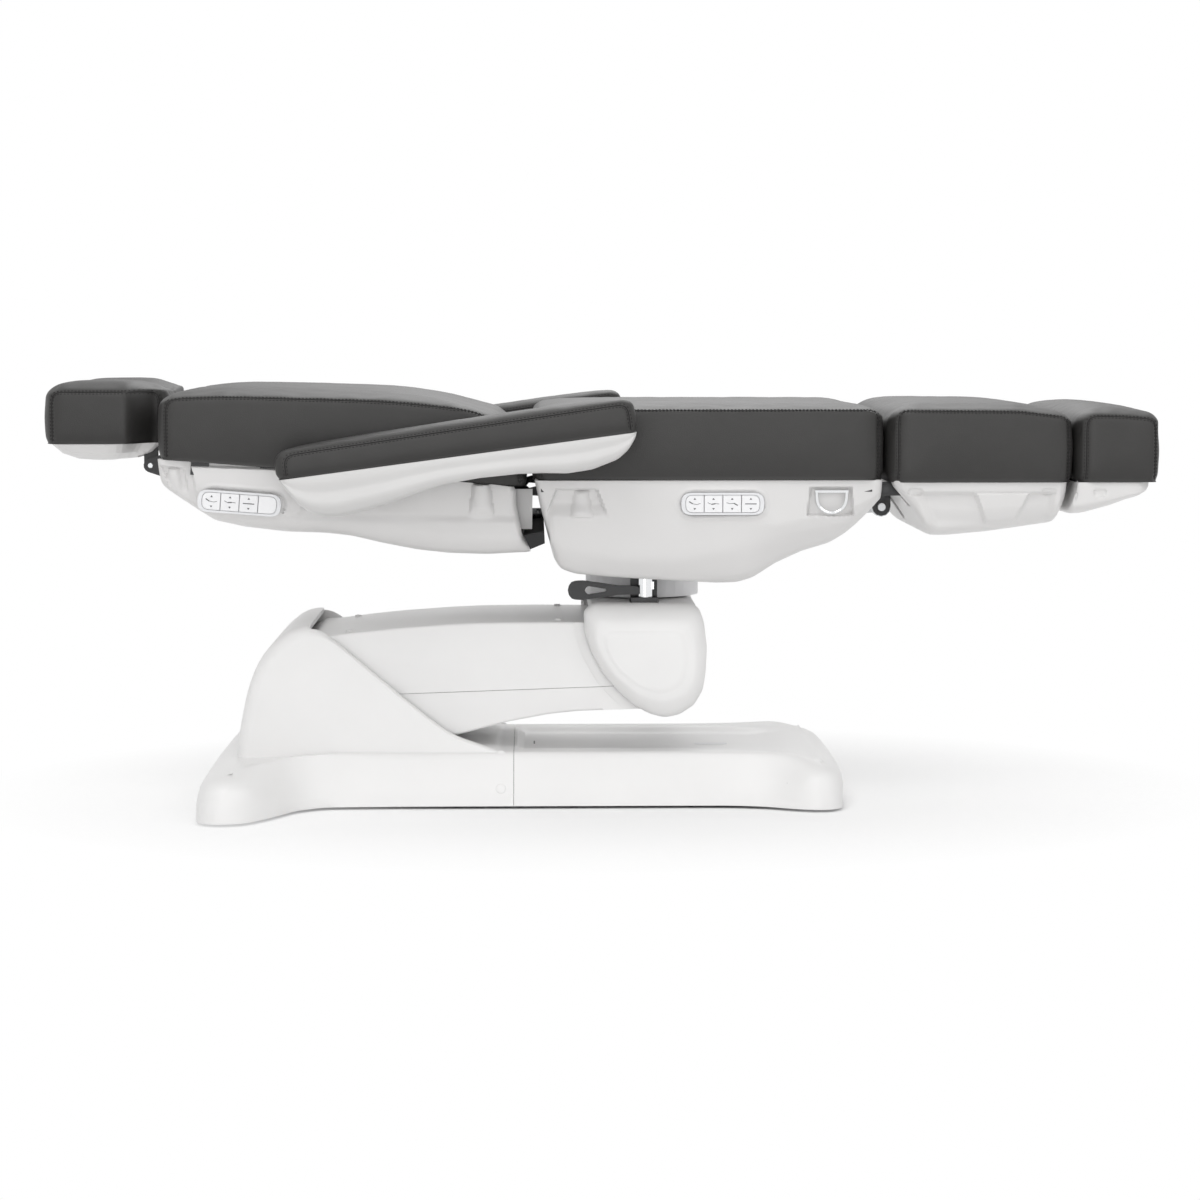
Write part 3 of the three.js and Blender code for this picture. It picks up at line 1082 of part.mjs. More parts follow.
function buildBack() {
  const group = new THREE.Group();
  const [footX, footZ] = backFoot;
  const level = (solid) => tilted(solid, backTilt, footX, footZ);
  const left = footX - backShellLength + 1;
  const parts = bellyShell({
    x0: left, length: backShellLength, depth: backDepth, halfWidth: shellHalf, rim: footZ,
    shares: backDepthShares,
    openRight: true,
  });
  const postPocket = rounded([
    [footX - 106, footZ - 6], [footX - 46, footZ - 6], [footX - 34, footZ - 52], [footX - 118, footZ - 52],
  ], 10);
  parts.shell = pocket(parts, postPocket, shellHalf, tieRing.deep);
  const panelCentre = [footX - 478, footZ - 62];
  const slab = { half: 89, up: 44, down: 84, deep: 34 };
  const slabOutline = rounded([
    [panelCentre[0] - slab.half, footZ - slab.down * 0.98], [panelCentre[0] + slab.half, footZ - slab.down],
    [panelCentre[0] + slab.half * 1.03, footZ - slab.up / 2], [panelCentre[0] - slab.half * 0.98,
      footZ - slab.up / 2],
  ], 14);
  const slabSolid = sidePrism(slabOutline, -shellHalf - 0.5, -shellHalf + slab.deep);
  const panelWay = sidePrism(panelHole(panelCentre[0], panelCentre[1], 0), -shellHalf - overrun,
    -shellHalf - 0.5 + panel.deep + clearance);
  const shell = cut(join(parts.shell, slabSolid), panelWay);
  const endCut = sidePrism([
    [footX + 1.5, rimZ - 110], [footX - 11, rimZ - 86], [footX - 21, rimZ - 33], [footX - 21, rimZ - 13],
    [footX - 44, rimZ + 7], [footX - 44, rimZ + overrun], [footX + 2 * overrun,
      rimZ + overrun], [footX + 2 * overrun, rimZ - 110],
  ], -rimZ, rimZ);
  const tubeWays = [-1, 1].map((side) =>
    barX(side * headTube.y, footZ - headTube.below, bore(headTube.radius), left - overrun, left + overrun));
  const pinWays = barY(armPivot[0], armPivot[1], bore(armPin), -rimZ, rimZ);
  addPiece(group, "back_shell", whiteShell, cut(level(cut(shell, ...tubeWays)), endCut, pinWays));

  const inner = shellHalf - shellWall - clearance;
  const top = footZ - clearance;
  const rails = [-1, 1].map((side) => {
    const [y0, y1] = side > 0 ? [frameRail.y0, frameRail.y1] : [-frameRail.y1, -frameRail.y0];
    return block(left + 60, footX - 45, y0, y1, top - frameRail.deep, top);
  });
  const clearOfPocket = inner - tieRing.deep - 2 * shellWall;
  const crosses = [[left + 55, left + 85, inner], [left + 170, left + 200, inner],
    [footX - 62, footX - 40, clearOfPocket]].map(
    ([x0, x1, half]) => block(x0, x1, -half, half, top - 1.5 * frameRail.bar, top));
  const tubeHoles = [-1, 1].map((side) =>
    barX(side * headTube.y, footZ - headTube.below, bore(headTube.radius), left, left + 300));
  const levelPart = level(cut(join(...rails, ...crosses), ...tubeHoles));
  const [px, pz] = backPivot;
  const shoeOutline = [
    ...arc(px, pz, arcRail.radius + 20, -58, -40, 4), ...arc(px, pz, arcRail.radius - 32, -40, -58, 4),
  ];
  const shoes = [-1, 1].flatMap((side) => {
    const near = side > 0 ? arcRail.y0 - clearance - arcRail.shoe : -arcRail.y1 - clearance - arcRail.shoe;
    const far = side > 0 ? arcRail.y1 + clearance : -arcRail.y0 + clearance;
    const pins = [-54, -43].flatMap((angle) => [-1, 1].map((rank) => {
      const r = arcRail.radius + rank * (arcRail.half + arcRail.pin + clearance);
      const a = THREE.MathUtils.degToRad(angle);
      return barY(px + r * Math.cos(a), pz + r * Math.sin(a), arcRail.pin, near + 1,
        far + arcRail.shoe - 1, 12);
    }));
    return [sidePrism(shoeOutline, near, near + arcRail.shoe),
      sidePrism(shoeOutline, far, far + arcRail.shoe), ...pins];
  });
  const armTube = barY(armPivot[0], armPivot[1], armPin + 5, -inner + 8, inner - 8);
  const hangers = [-1, 1].map((side) => {
    const [y0, y1] = side > 0 ? [frameRail.y0, frameRail.y1] : [-frameRail.y1, -frameRail.y0];
    return block(armPivot[0] - armPin, armPivot[0] + armPin, y0, y1, armPivot[1], armPivot[1] + 24);
  });
  const forkHalf = jack.eyeHalf + jack.cheek;
  const forkArm = block(footX - 62, backPin[0] + 2, backLane - forkHalf, backLane + forkHalf, rimZ - 26,
    rimZ - 10);
  const frame = cut(
    join(levelPart, ...shoes, armTube, ...hangers, forkArm, fork(backPin, backLane, rimZ - 10, 30)),
    barY(armPivot[0], armPivot[1], bore(armPin), -inner - 1, -inner + 70),
    barY(armPivot[0], armPivot[1], bore(armPin), inner - 70, inner + 1),
  );
  addPiece(group, "back_frame", blackSteel, frame);

  const plan = padPlan(backHeadX, backFootX, padHalf, 30, 3);
  const raw = cushion(plan, footZ + clearance, backPad.thickness - 12, backPad.crown, backPad.edge, 0.03);
  const [endX, endZ] = backPivot;
  const round = [
    ...arc(endX, endZ, backPad.endRound, -70, 106, 12), [endX - 58,
      rimZ + 3 * overrun + 34], [backHeadX - overrun, rimZ + 200],
    [backHeadX - overrun, rimZ - 100], [endX, rimZ - 100],
  ];
  addPiece(group, "back_cushion", greyPad, level(raw).intersect(sidePrism(round, -rimZ, rimZ)));
  const turned = new THREE.Vector2(panelCentre[0] - footX,
    panelCentre[1] - footZ).rotateAround(new THREE.Vector2(), THREE.MathUtils.degToRad(-backTilt));
  buildPanel(group, "back", ["back_back_key", "back_lift_key", "back_leg_key", "back_reset_key"],
    footX + turned.x, footZ + turned.y, -shellHalf - 0.5, backTilt);
  [[-1, "near"], [1, "far"]].forEach(([side, name]) => {
    const y0 = side > 0 ? inner - 60 : -armrest.inner - 18;
    const y1 = side > 0 ? armrest.inner + 18 : -inner + 60;
    addPiece(group, "armrest_pivot_" + name, greySteel, barY(armPivot[0], armPivot[1], armPin, y0, y1));
  });
  return group;
}

// Armrest: a padded bar on a moulded shell that hangs on its pivot
const armrest = {
  inner: padHalf + 12, outer: padHalf + 102, length: 593, behind: 85, above: 36.6, tilt: -7.6,
  thickness: 44, crown: 12, edge: 10,
  shellEdge: 12, shift: 40,
};
const armrestShares = [
  [0.004, 0], [0.009, 2], [0.042, 41], [0.071, 62], [0.111, 72], [0.161, 74], [0.23, 69], [0.302,
    62], [0.375, 51],
  [0.447, 43], [0.551, 41], [0.658, 43], [0.727, 47], [0.793, 54], [0.864, 53], [0.937, 42], [0.968,
    29], [0.996, 10], [0.998, 0],
];

function buildArmrest(side, name) {
  const group = new THREE.Group();
  const [px, pz] = armPivot;
  const level = (solid) => tilted(solid, armrest.tilt, px, pz);
  const x0 = px - armrest.behind;
  const rim = pz + armrest.above;
  const outline = armrestShares.map(([x, down]) => [x0 + x * armrest.length, rim - down]);
  const half = (armrest.outer - armrest.inner) / 2 - 2;
  const middle = (side * (armrest.outer + armrest.inner)) / 2;
  const move = (solid) => {
    const geometry = geometryOf(solid);
    geometry.translate(0, middle, 0);
    return solidOf(geometry);
  };
  const skin = softPrism(outline, half, armrest.shellEdge, scaledIn);
  const hollow = join(
    sidePrism(scaledIn(outline, 1.5 * shellWall), -half + shellWall, half - shellWall),
    block(x0 + 3 * shellWall, x0 + armrest.length - 3 * shellWall, -half + shellWall, half - shellWall,
      rim - 2 * shellWall, rim + overrun));
  const boss = barY(px, pz, armPin + 6, -half + 1, half - 1);
  const shell = cut(join(cut(skin, hollow), boss.intersect(skin)),
    barY(px, pz, bore(armPin), side > 0 ? -half - overrun : -half + 24,
      side > 0 ? half - 24 : half + overrun));
  addPiece(group, "armrest_shell_" + name, whiteShell, level(move(shell)));
  const plan = padPlan(x0, x0 + armrest.length, half + 2, 16, 1.5, 4);
  addPiece(group, "armrest_cushion_" + name, greyPad,
    level(move(cushion(plan, rim + clearance, armrest.thickness, armrest.crown, armrest.edge, 0.018))));
  return group;
}

// Head rest: tubes with brackets that slide in the back, and a padded tray on a cross hinge
const headBracket = { y0: 116, y1: 124, pin: 4.2, round: 12 };
function buildHeadSlide() {
  const group = new THREE.Group();
  const [footX, footZ] = backFoot;
  const left = backHeadX;
  const [hx, hz] = headHinge;
  const tubes = [-1, 1].map((side) =>
    barX(side * headTube.y, footZ - headTube.below, headTube.radius, left - 12, left + 230));
  const level = (solid) => tilted(solid, backTilt, footX, footZ);
  const outline = [
    ...arc(hx, hz, headBracket.round, 90, 250, 6), [hx + 28, hz - 22], [hx + 31, hz - 12],
    [hx + 31, hz + 6], [hx + 31, hz + 20], [hx + 22, hz + 20],
  ];
  const brackets = [-1, 1].map((side) => {
    const [y0, y1] = side > 0 ? [headBracket.y0, headBracket.y1] : [-headBracket.y1, -headBracket.y0];
    return sidePrism(outline, y0, y1);
  });
  const tie = barY(hx + 24, hz + 2, headTube.radius, -headBracket.y1, headBracket.y1);
  addPiece(group, "head_slide", blackSteel, cut(
    join(level(join(tubes[0], block(left - 11, left - 2, -headTube.y, headTube.y,
      footZ - headTube.below - 5, footZ - headTube.below + 5), tubes[1])),
      ...brackets, tie),
    barY(hx, hz, bore(headBracket.pin), -rimZ, rimZ)));
  return group;
}

const headRim = rimZ + 63;
const headTray = { inset: 11, depth: 29, edge: 40 };
function headPlan(shrink) {
  const { halfWidth, neckHalf, length } = headPad;
  const x1 = headEndX + length;
  const shoulder = headEndX + 0.69 * length;
  const outline = [
    [headEndX, -halfWidth], [shoulder, -halfWidth], [shoulder + 0.1 * length, -neckHalf], [x1, -neckHalf],
    [x1, neckHalf], [shoulder + 0.1 * length, neckHalf], [shoulder, halfWidth], [headEndX, halfWidth],
  ];
  return scaledIn(rounded(outline, 26, 3), shrink);
}

function buildHead() {
  const group = new THREE.Group();
  const [hx, hz] = headHinge;
  const rings = [[1.6, -1], [1, -0.9], [0.4, -0.55], [0, 0]].map(([away, down]) =>
    floorRing(headPlan(headTray.inset + away * headTray.edge), headRim + down * headTray.depth));
  const hollow = [[1.65, -0.87], [0.95, -0.76], [0.14, 0.3]].map(([away, down]) =>
    floorRing(headPlan(headTray.inset + away * headTray.edge), headRim + down * headTray.depth));
  const slots = [-1, 1].map((side) => {
    const y = side * (headBracket.y0 - plate / 2 - clearance);
    return block(hx - 22, hx + 30, y - plate, y + plate, hz - overrun, headRim);
  });
  addPiece(group, "head_shell", whiteShell, cut(loft(rings), loft(hollow), ...slots));
  const plates = [-1, 1].map((side) => {
    const y0 = side > 0 ? headBracket.y0 - clearance - plate : -headBracket.y0 + clearance;
    const outline = [...arc(hx, hz, headBracket.round, 180, 360, 6),
      [hx + headBracket.round, headRim - 4], [hx - headBracket.round, headRim - 4]];
    return sidePrism(outline, y0, y0 + plate);
  });
  const board = block(headEndX + 70, hx - 6, -headBracket.y0 + clearance, headBracket.y0 - clearance,
    headRim - 8, headRim - clearance);
  addPiece(group, "head_frame", blackSteel,
    cut(join(board, ...plates), barY(hx, hz, bore(headBracket.pin), -rimZ, rimZ)));
  addPiece(group, "head_hinge_pin", greySteel,
    barY(hx, hz, headBracket.pin, -headBracket.y1 - 3, headBracket.y1 + 3));
  addPiece(group, "head_cushion", greyPad,
    cushion(headPlan(0), headRim + clearance, headPad.thickness - 4, headPad.crown, headPad.edge));
  return group;
}

// Leg: frame on two hinge lugs, shell, cushion and the pin of the leg jack
const legShell = { from: 9, length: legPad.length - 19, depth: 84 };
const legRim = rimZ + 1;
const legDepthShares = [
  [0, 0.12], [0.024, 0.22], [0.105, 0.52], [0.22, 0.95], [0.245, 1], [0.335, 0.99], [0.565, 0.92], [0.85,
    0.77],
  [0.945, 0.71], [0.958, 0.6], [0.972, 0.45], [0.987, 0.36], [1, 0.12],
];
const footBar = { radius: 8, y: 120, z: legRim - 15 };

function buildLeg() {
  const group = new THREE.Group();
  const left = legLeftX + legShell.from;
  const parts = bellyShell({
    x0: left, length: legShell.length, depth: legShell.depth, halfWidth: shellHalf, rim: legRim,
    shares: legDepthShares,
  });
  const slab = rounded([
    [legLeftX + 143, legRim - 18], [legLeftX + 242, legRim - 18], [legLeftX + 213,
      legRim - 66], [legLeftX + 158, legRim - 66],
  ], 8);
  const ledge = [-1, 1].map((side) => {
    const [y0, y1] = side > 0 ? [shellHalf - 40, shellHalf + 1] : [-shellHalf - 1, -shellHalf + 40];
    return sidePrism(slab, y0, y1);
  });
  const cavity = parts.inner;
  const slots = [legLeftX + 47, legLeftX + 272].flatMap((x) => [-1, 1].map((side) =>
    barY(x, legRim - 16, 6, side * shellHalf - 3, side * shellHalf + 3, 12)));
  const lugWays = [-1, 1].map((side) =>
    block(left - overrun, left + 34, side * hinge.y - 16, side * hinge.y + 16, legRim - 60,
      legRim + overrun));
  const legWay = block(left - overrun, left + 60, -26, 26, legRim - 2 * overrun, legRim + overrun);
  const barWays = [-1, 1].map((side) =>
    barX(side * footBar.y, footBar.z, bore(footBar.radius) + clearance, left + 200,
      left + legShell.length + overrun));
  addPiece(group, "leg_shell", whiteShell,
    cut(join(parts.shell, ...ledge.map((piece) => cut(piece, cavity))), ...slots, ...lugWays, legWay,
      ...barWays));

  const top = legRim - clearance;
  const inner = hinge.y - clearance;
  const rails = [-1, 1].map((side) => {
    const y0 = side > 0 ? inner - plate : -inner;
    const outline = [...arc(legHinge[0], legHinge[1], hinge.lug, 90, 270, 6),
      [legHinge[0] + 30, top - 2 * hinge.lug], [legRightX - 20, top - 20], [legRightX - 20, top]];
    return sidePrism(outline, y0, y0 + plate);
  });
  const crosses = [[legLeftX + 42, legLeftX + 60], [legLeftX + 150, legLeftX + 180],
    [legRightX - 50, legRightX - 30]].map(([x0, x1]) =>
    block(x0, x1, -inner, inner, footBar.z - footBar.radius - 4, top));
  const clevis = cut(fork(legPin, 0, top - 5, 32),
    barY(legPin[0], legPin[1], bore(jack.pin), -overrun, overrun));
  const web = block(legPin[0] - 16, legLeftX + 60, -jack.eyeHalf - jack.cheek, jack.eyeHalf + jack.cheek,
    top - 14, top);
  const ways = [-1, 1].map((side) =>
    barX(side * footBar.y, footBar.z, bore(footBar.radius), legLeftX + 100, legRightX + overrun));
  const holes = barY(legHinge[0], legHinge[1], bore(hinge.pin), -shellHalf, shellHalf);
  addPiece(group, "leg_frame", blackSteel, cut(join(...rails, ...crosses, web, clevis), ...ways, holes));
  const pinHalf = jack.eyeHalf + jack.cheek + 5;
  addPiece(group, "leg_clevis_pin", greySteel, barY(legPin[0], legPin[1], jack.pin, -pinHalf, pinHalf));
  addPiece(group, "leg_cushion", greyPad,
    cushion(padPlan(legLeftX, legRightX, padHalf, 28, 3), legRim + clearance, legPad.thickness,
      legPad.crown, legPad.edge));
  return group;
}

// Foot: two bars that slide in the leg frame, shell and cushion
const footShell = { length: footPad.length - 15.5, depth: 53, lean: 0.45 };
const footDepthShares = [[0, 0.96], [0.13, 1], [0.38, 0.92], [0.6, 0.72], [0.78, 0.53], [0.92, 0.44],
  [1, 0.2]];
function buildFoot() {
  const group = new THREE.Group();
  const parts = bellyShell({
    x0: footLeftX + 2, length: footShell.length, depth: footShell.depth, halfWidth: shellHalf, rim: legRim,
    shares: footDepthShares, lean: footShell.lean,
  });
  const ways = [-1, 1].map((side) =>
    barX(side * footBar.y, footBar.z, bore(footBar.radius), footLeftX - overrun, footLeftX + overrun));
  addPiece(group, "foot_shell", whiteShell, cut(parts.shell, ...ways));
  const bars = [-1, 1].map((side) =>
    barX(side * footBar.y, footBar.z, footBar.radius, legLeftX + 100, footLeftX + 90));
  const board = block(footLeftX + 20, footLeftX + 100, -frameRail.y1, frameRail.y1, footBar.z - 4,
    legRim - clearance);
  addPiece(group, "foot_frame", greySteel, join(...bars, board));
  addPiece(group, "foot_cushion", greyPad,
    cushion(padPlan(footLeftX, footLeftX + footPad.length, padHalf, 40, 3), legRim + clearance,
      footPad.thickness,
      footPad.crown, footPad.edge));
  return group;
}

// Jacks
const jackGroup = new THREE.Group();
Object.entries(jacks).forEach(([name, settings]) => {
  const { rod, tube } = jackParts(settings);
  addPiece(jackGroup, name + "_jack_rod", greySteel, rod);
  addPiece(jackGroup, name + "_jack_tube", motorGrey, tube);
});

const table = new THREE.Group();
table.add(buildBase(), buildLiftArm(), buildLink(), buildKnuckle(), buildLock(), buildCarriage(),
  buildSeat(), buildBack(),
  buildArmrest(-1, "near"), buildArmrest(1,
    "far"), buildHeadSlide(), buildHead(), buildLeg(), buildFoot(), jackGroup);

export default table;
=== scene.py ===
import math
from contextlib import contextmanager
from dataclasses import dataclass

import bmesh
import bpy
import numpy as np
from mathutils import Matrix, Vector, noise
from mathutils.bvhtree import BVHTree


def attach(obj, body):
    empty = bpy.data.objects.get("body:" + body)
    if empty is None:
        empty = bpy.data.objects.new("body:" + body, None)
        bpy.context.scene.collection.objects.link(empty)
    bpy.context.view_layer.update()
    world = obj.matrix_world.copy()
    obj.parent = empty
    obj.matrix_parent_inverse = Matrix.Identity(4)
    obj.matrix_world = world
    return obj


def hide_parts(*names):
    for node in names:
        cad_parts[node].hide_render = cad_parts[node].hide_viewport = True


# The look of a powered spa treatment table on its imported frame. Lengths are millimetres in the
# lists below and become metres in the meshes. X runs to the foot end, Y to the far side, Z up.
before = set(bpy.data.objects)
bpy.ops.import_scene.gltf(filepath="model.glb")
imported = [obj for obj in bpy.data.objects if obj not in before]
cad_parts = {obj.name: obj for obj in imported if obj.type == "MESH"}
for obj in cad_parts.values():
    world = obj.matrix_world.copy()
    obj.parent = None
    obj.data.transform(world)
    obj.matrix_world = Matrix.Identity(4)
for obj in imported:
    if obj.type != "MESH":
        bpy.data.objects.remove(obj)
scene = bpy.context.scene
MM = 0.001
shell_half, shell_wall, cushion_half = 300, 4, 309
seat_rim, tilt_of_back = 567, -4.35
swivel_x, panel_gap = 81, 0.8


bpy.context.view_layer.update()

# Camera, floor and light
camera_data = bpy.data.cameras.new("camera")
camera = bpy.data.objects.new("camera", camera_data)
scene.collection.objects.link(camera)
scene.camera = camera
camera_data.sensor_width = 36
camera_data.lens = 84.5
camera_data.clip_end = 60
camera.location = (-0.107, -5.0, 0.81)
camera.rotation_euler = (math.radians(90 - 5.385), 0, math.radians(-1.30))
scene.view_settings.view_transform = "Standard"


def node_tree(owner):
    owner.use_nodes = True
    owner.node_tree.nodes.clear()
    return owner.node_tree.nodes, owner.node_tree.links


def put(nodes, kind, operation=None, **values):
    """A shader node with its inputs set; an underscore stands for the space in an input's name."""
    made = nodes.new("ShaderNode" + kind)
    if operation:
        made.operation = operation
    for name, value in values.items():
        made.inputs[name.replace("_", " ")].default_value = value
    return made


def wire(links, *pairs):
    for start, end in pairs:
        links.new(start, end)


def seen_directly(nodes, links):
    """1 for what the camera sees, also in metal and through glass."""
    path = put(nodes, "LightPath")
    last = path.outputs["Is Camera Ray"]
    for ray in ("Is Glossy Ray", "Is Transmission Ray"):
        either = put(nodes, "Math", "MAXIMUM")
        wire(links, (last, either.inputs[0]), (path.outputs[ray], either.inputs[1]))
        last = either.outputs[0]
    return last


def shown_as(nodes, links, share, plain, direct, output):
    """Mixes two shaders by a share and sends them to the output."""
    mix = put(nodes, "MixShader")
    out = put(nodes, output)
    wire(links, (share, mix.inputs["Fac"]), (plain.outputs[0], mix.inputs[1]),
         (direct.outputs[0], mix.inputs[2]), (mix.outputs[0], out.inputs["Surface"]))


world = bpy.data.worlds.new("studio")
scene.world = world
nodes, links = node_tree(world)
room = put(nodes, "Background", Color=(1, 1, 1, 1), Strength=0.60)
white = put(nodes, "Background", Color=(1, 1, 1, 1), Strength=1.0)
shown_as(nodes, links, seen_directly(nodes, links), room, white, "OutputWorld")


def lamp(name, place, aim, width, power):
    data = bpy.data.lights.new(name, "AREA")
    data.shape = "DISK"
    data.size = width
    data.energy = power
    made = bpy.data.objects.new(name, data)
    scene.collection.objects.link(made)
    made.location = place
    made.rotation_euler = (Vector(aim) - Vector(place)).to_track_quat("-Z", "Y").to_euler()
    return made


lamp("key_light", (-1.0, -2.7, 3.9), (0, 0, 0.4), 2.8, 54)
lamp("front_light", (-0.2, -4.4, 0.9), (-0.1, 0, 0.35), 3.0, 36)
lamp("fill_light", (2.4, -3.0, 3.0), (0, 0, 0.4), 2.6, 22)
lamp("back_light", (0.3, 3.0, 3.2), (0, 0, 0.5), 2.8, 44)

floor_mesh = bpy.data.meshes.new("studio_floor")
floor_mesh.from_pydata([(-12, -12, 0), (12, -12, 0), (12, 12, 0), (-12, 12, 0)], [], [(0, 1, 2, 3)])
floor = bpy.data.objects.new("studio_floor", floor_mesh)
scene.collection.objects.link(floor)
floor_look = bpy.data.materials.new("studio_floor")
floor_mesh.materials.append(floor_look)
nodes, links = node_tree(floor_look)
place = put(nodes, "NewGeometry")
flat = put(nodes, "VectorMath", "MULTIPLY")
flat.inputs[1].default_value = (0.8, 1.1, 0)
away = put(nodes, "VectorMath", "LENGTH")
fade = put(nodes, "MapRange", From_Min=0.30, From_Max=0.9)
shown = put(nodes, "Math", "MULTIPLY")
matt = put(nodes, "BsdfDiffuse", Color=(0.97, 0.97, 0.97, 1))
glow = put(nodes, "Emission", Color=(1, 1, 1, 1))
wire(links, (place.outputs["Position"], flat.inputs[0]), (flat.outputs[0], away.inputs[0]),
     (away.outputs["Value"], fade.inputs["Value"]), (fade.outputs[0], shown.inputs[0]),
     (seen_directly(nodes, links), shown.inputs[1]))
shown_as(nodes, links, shown.outputs[0], matt, glow, "OutputMaterial")


# Materials: a base colour with slow variation, and a fine relief at the real scale
def finish(name, colour, roughness, metallic=0.0, specular=0.5, vary=0.03, drift=9.0, grain=0.0,
           grain_scale=900.0, cells=False, rough_vary=0.04, edge=0.0):
    look = bpy.data.materials.new(name)
    nodes, links = node_tree(look)
    shader = put(nodes, "BsdfPrincipled", Metallic=metallic, Specular_IOR_Level=specular)
    out = put(nodes, "OutputMaterial")
    place = put(nodes, "TexCoord")
    slow = put(nodes, "TexNoise", Scale=drift, Detail=3)
    shade = put(nodes, "MapRange", From_Min=0.3, From_Max=0.7, To_Min=1 - vary, To_Max=1 + vary)
    tint = put(nodes, "VectorMath", "SCALE")
    tint.inputs[0].default_value = colour
    rough = put(nodes, "MapRange", To_Min=roughness - rough_vary, To_Max=roughness + rough_vary)
    wire(links, (shader.outputs[0], out.inputs["Surface"]), (place.outputs["Object"], slow.inputs["Vector"]),
         (slow.outputs["Fac"], shade.inputs["Value"]), (shade.outputs[0], tint.inputs["Scale"]),
         (slow.outputs["Fac"], rough.inputs["Value"]), (rough.outputs[0], shader.inputs["Roughness"]))
    last = tint.outputs[0]
    # Sharp convex edges, found by the mesh's pointiness, get a lighter colour, raised by the share given as
    # edge.
    if edge:
        bend = put(nodes, "NewGeometry")
        edge_gain = put(nodes, "MapRange", From_Min=0.5, From_Max=0.62, To_Min=1.0, To_Max=1 + edge)
        lit = put(nodes, "VectorMath", "SCALE")
        wire(links, (bend.outputs["Pointiness"], edge_gain.inputs["Value"]), (last, lit.inputs[0]),
             (edge_gain.outputs[0], lit.inputs["Scale"]))
        last = lit.outputs[0]
    wire(links, (last, shader.inputs["Base Color"]))
    if grain:
        fine = put(nodes, "TexVoronoi" if cells else "TexNoise", Scale=grain_scale)
        relief = put(nodes, "Bump", Strength=grain, Distance=0.0004)
        wire(links, (place.outputs["Object"], fine.inputs["Vector"]),
             (fine.outputs["Distance" if cells else "Fac"], relief.inputs["Height"]),
             (relief.outputs["Normal"], shader.inputs["Normal"]))
    return look


def shell_white(name, colour):
    return finish(name, colour, 0.36, specular=0.45, vary=0.012, grain=0.10, grain_scale=700, rough_vary=0.05)


looks = {
    "white_shell": shell_white("white_shell", (0.80, 0.795, 0.79)),
    "grey_upholstery": finish("grey_upholstery", (0.0310, 0.0300, 0.0290), 0.48, specular=0.38,
                              vary=0.07, drift=14, grain=0.35, grain_scale=620, cells=True),
    "white_steel": finish("white_steel", (0.74, 0.74, 0.75), 0.42, vary=0.02, grain=0.25,
                          grain_scale=1500, edge=0.04),
    "black_steel": finish("black_steel", (0.018, 0.018, 0.019), 0.42, vary=0.1, grain=0.3,
                          grain_scale=1600, edge=0.8),
    "black_plastic": finish("black_plastic", (0.014, 0.014, 0.015), 0.34, vary=0.08, grain=0.15,
                            grain_scale=1200, edge=0.4),
    "bright_steel": finish("bright_steel", (0.52, 0.53, 0.54), 0.28, metallic=1.0, vary=0.05,
                           drift=60, grain=0.1, grain_scale=1500, rough_vary=0.08),
    "chrome": finish("chrome", (0.80, 0.81, 0.82), 0.10, metallic=1.0, vary=0.02, rough_vary=0.03),
    "silver_plastic": finish("silver_plastic", (0.70, 0.705, 0.72), 0.34, vary=0.015, grain=0.1,
                             grain_scale=1400),
    "white_keys": finish("white_keys", (0.79, 0.79, 0.80), 0.42, vary=0.015, grain=0.2,
                         grain_scale=1800),
    "motor_grey": finish("motor_grey", (0.06, 0.062, 0.068), 0.45, vary=0.08, grain=0.25,
                         grain_scale=1400, edge=0.5),
}
# The shells under the cushions are the same white plastic as the base covers; their darker colour is painted
# shade, for the cushions' shadow over them.
painted_shade_shell_look = shell_white("shell_painted_shade", (0.675, 0.667, 0.662))
# The armrest shells are the same white plastic again; their still darker colour is painted shade under the
# armrest cushions.
armrest_painted_shade_look = shell_white("armrest_shell", (0.60, 0.594, 0.589))
stitch_look = finish("stitch_thread", (0.020, 0.019, 0.019), 0.7, specular=0.2, vary=0.15, drift=300,
                     grain=0.5, grain_scale=2600)
mark_look = finish("key_print", (0.12, 0.12, 0.125), 0.6, specular=0.3, vary=0.05, drift=200)
rubber_look = finish("dark_rubber", (0.022, 0.022, 0.023), 0.65, specular=0.3, vary=0.1, grain=0.4,
                     grain_scale=1500)


# Curves and meshes
def softened(values, width, closed=False):
    """Evens a row of points out with a bell of that many samples; open ends stay where they are."""
    values = np.asarray(values, float)
    line = values.reshape(len(values), -1)
    reach = min(int(3 * width) + 1, len(values) - 1)
    if closed:
        padded = np.concatenate([line[-reach:], line, line[:reach]])
    else:
        padded = np.concatenate([2 * line[0] - line[reach:0:-1], line, 2 * line[-1] - line[-2:-reach - 2:-1]])
    bell = np.exp(-0.5 * (np.arange(-reach, reach + 1) / width) ** 2)
    bell /= bell.sum()
    made = np.stack([np.convolve(column, bell, "valid") for column in padded.T], axis=1)
    return made.reshape(values.shape)


def resampled(points, step=None, count=None, closed=False):
    """The same line with evenly spaced points."""
    points = np.asarray(points, float)
    if closed:
        points = np.vstack([points, points[:1]])
    run = np.concatenate([[0], np.cumsum(np.linalg.norm(np.diff(points, axis=0), axis=1))])
    if count is None:
        count = max(int(round(run[-1] / step)), 2) + 1
    at = np.linspace(0, run[-1], count)
    made = np.stack([np.interp(at, run, points[:, i]) for i in range(points.shape[1])], axis=1)
    return made[:-1] if closed else made


def smooth_line(points, step, soft, closed=False):
    """A dense line through the points with its corners rounded over about twice that length."""
    fine = softened(resampled(points, step=1.0, closed=closed), soft, closed)
    return resampled(fine, step=step, closed=closed)


def ramp(value, low, high):
    """Rises softly from 0 at low to 1 at high."""
    t = np.clip((np.asarray(value, float) - low) / (high - low), 0, 1)
    return t * t * (3 - 2 * t)


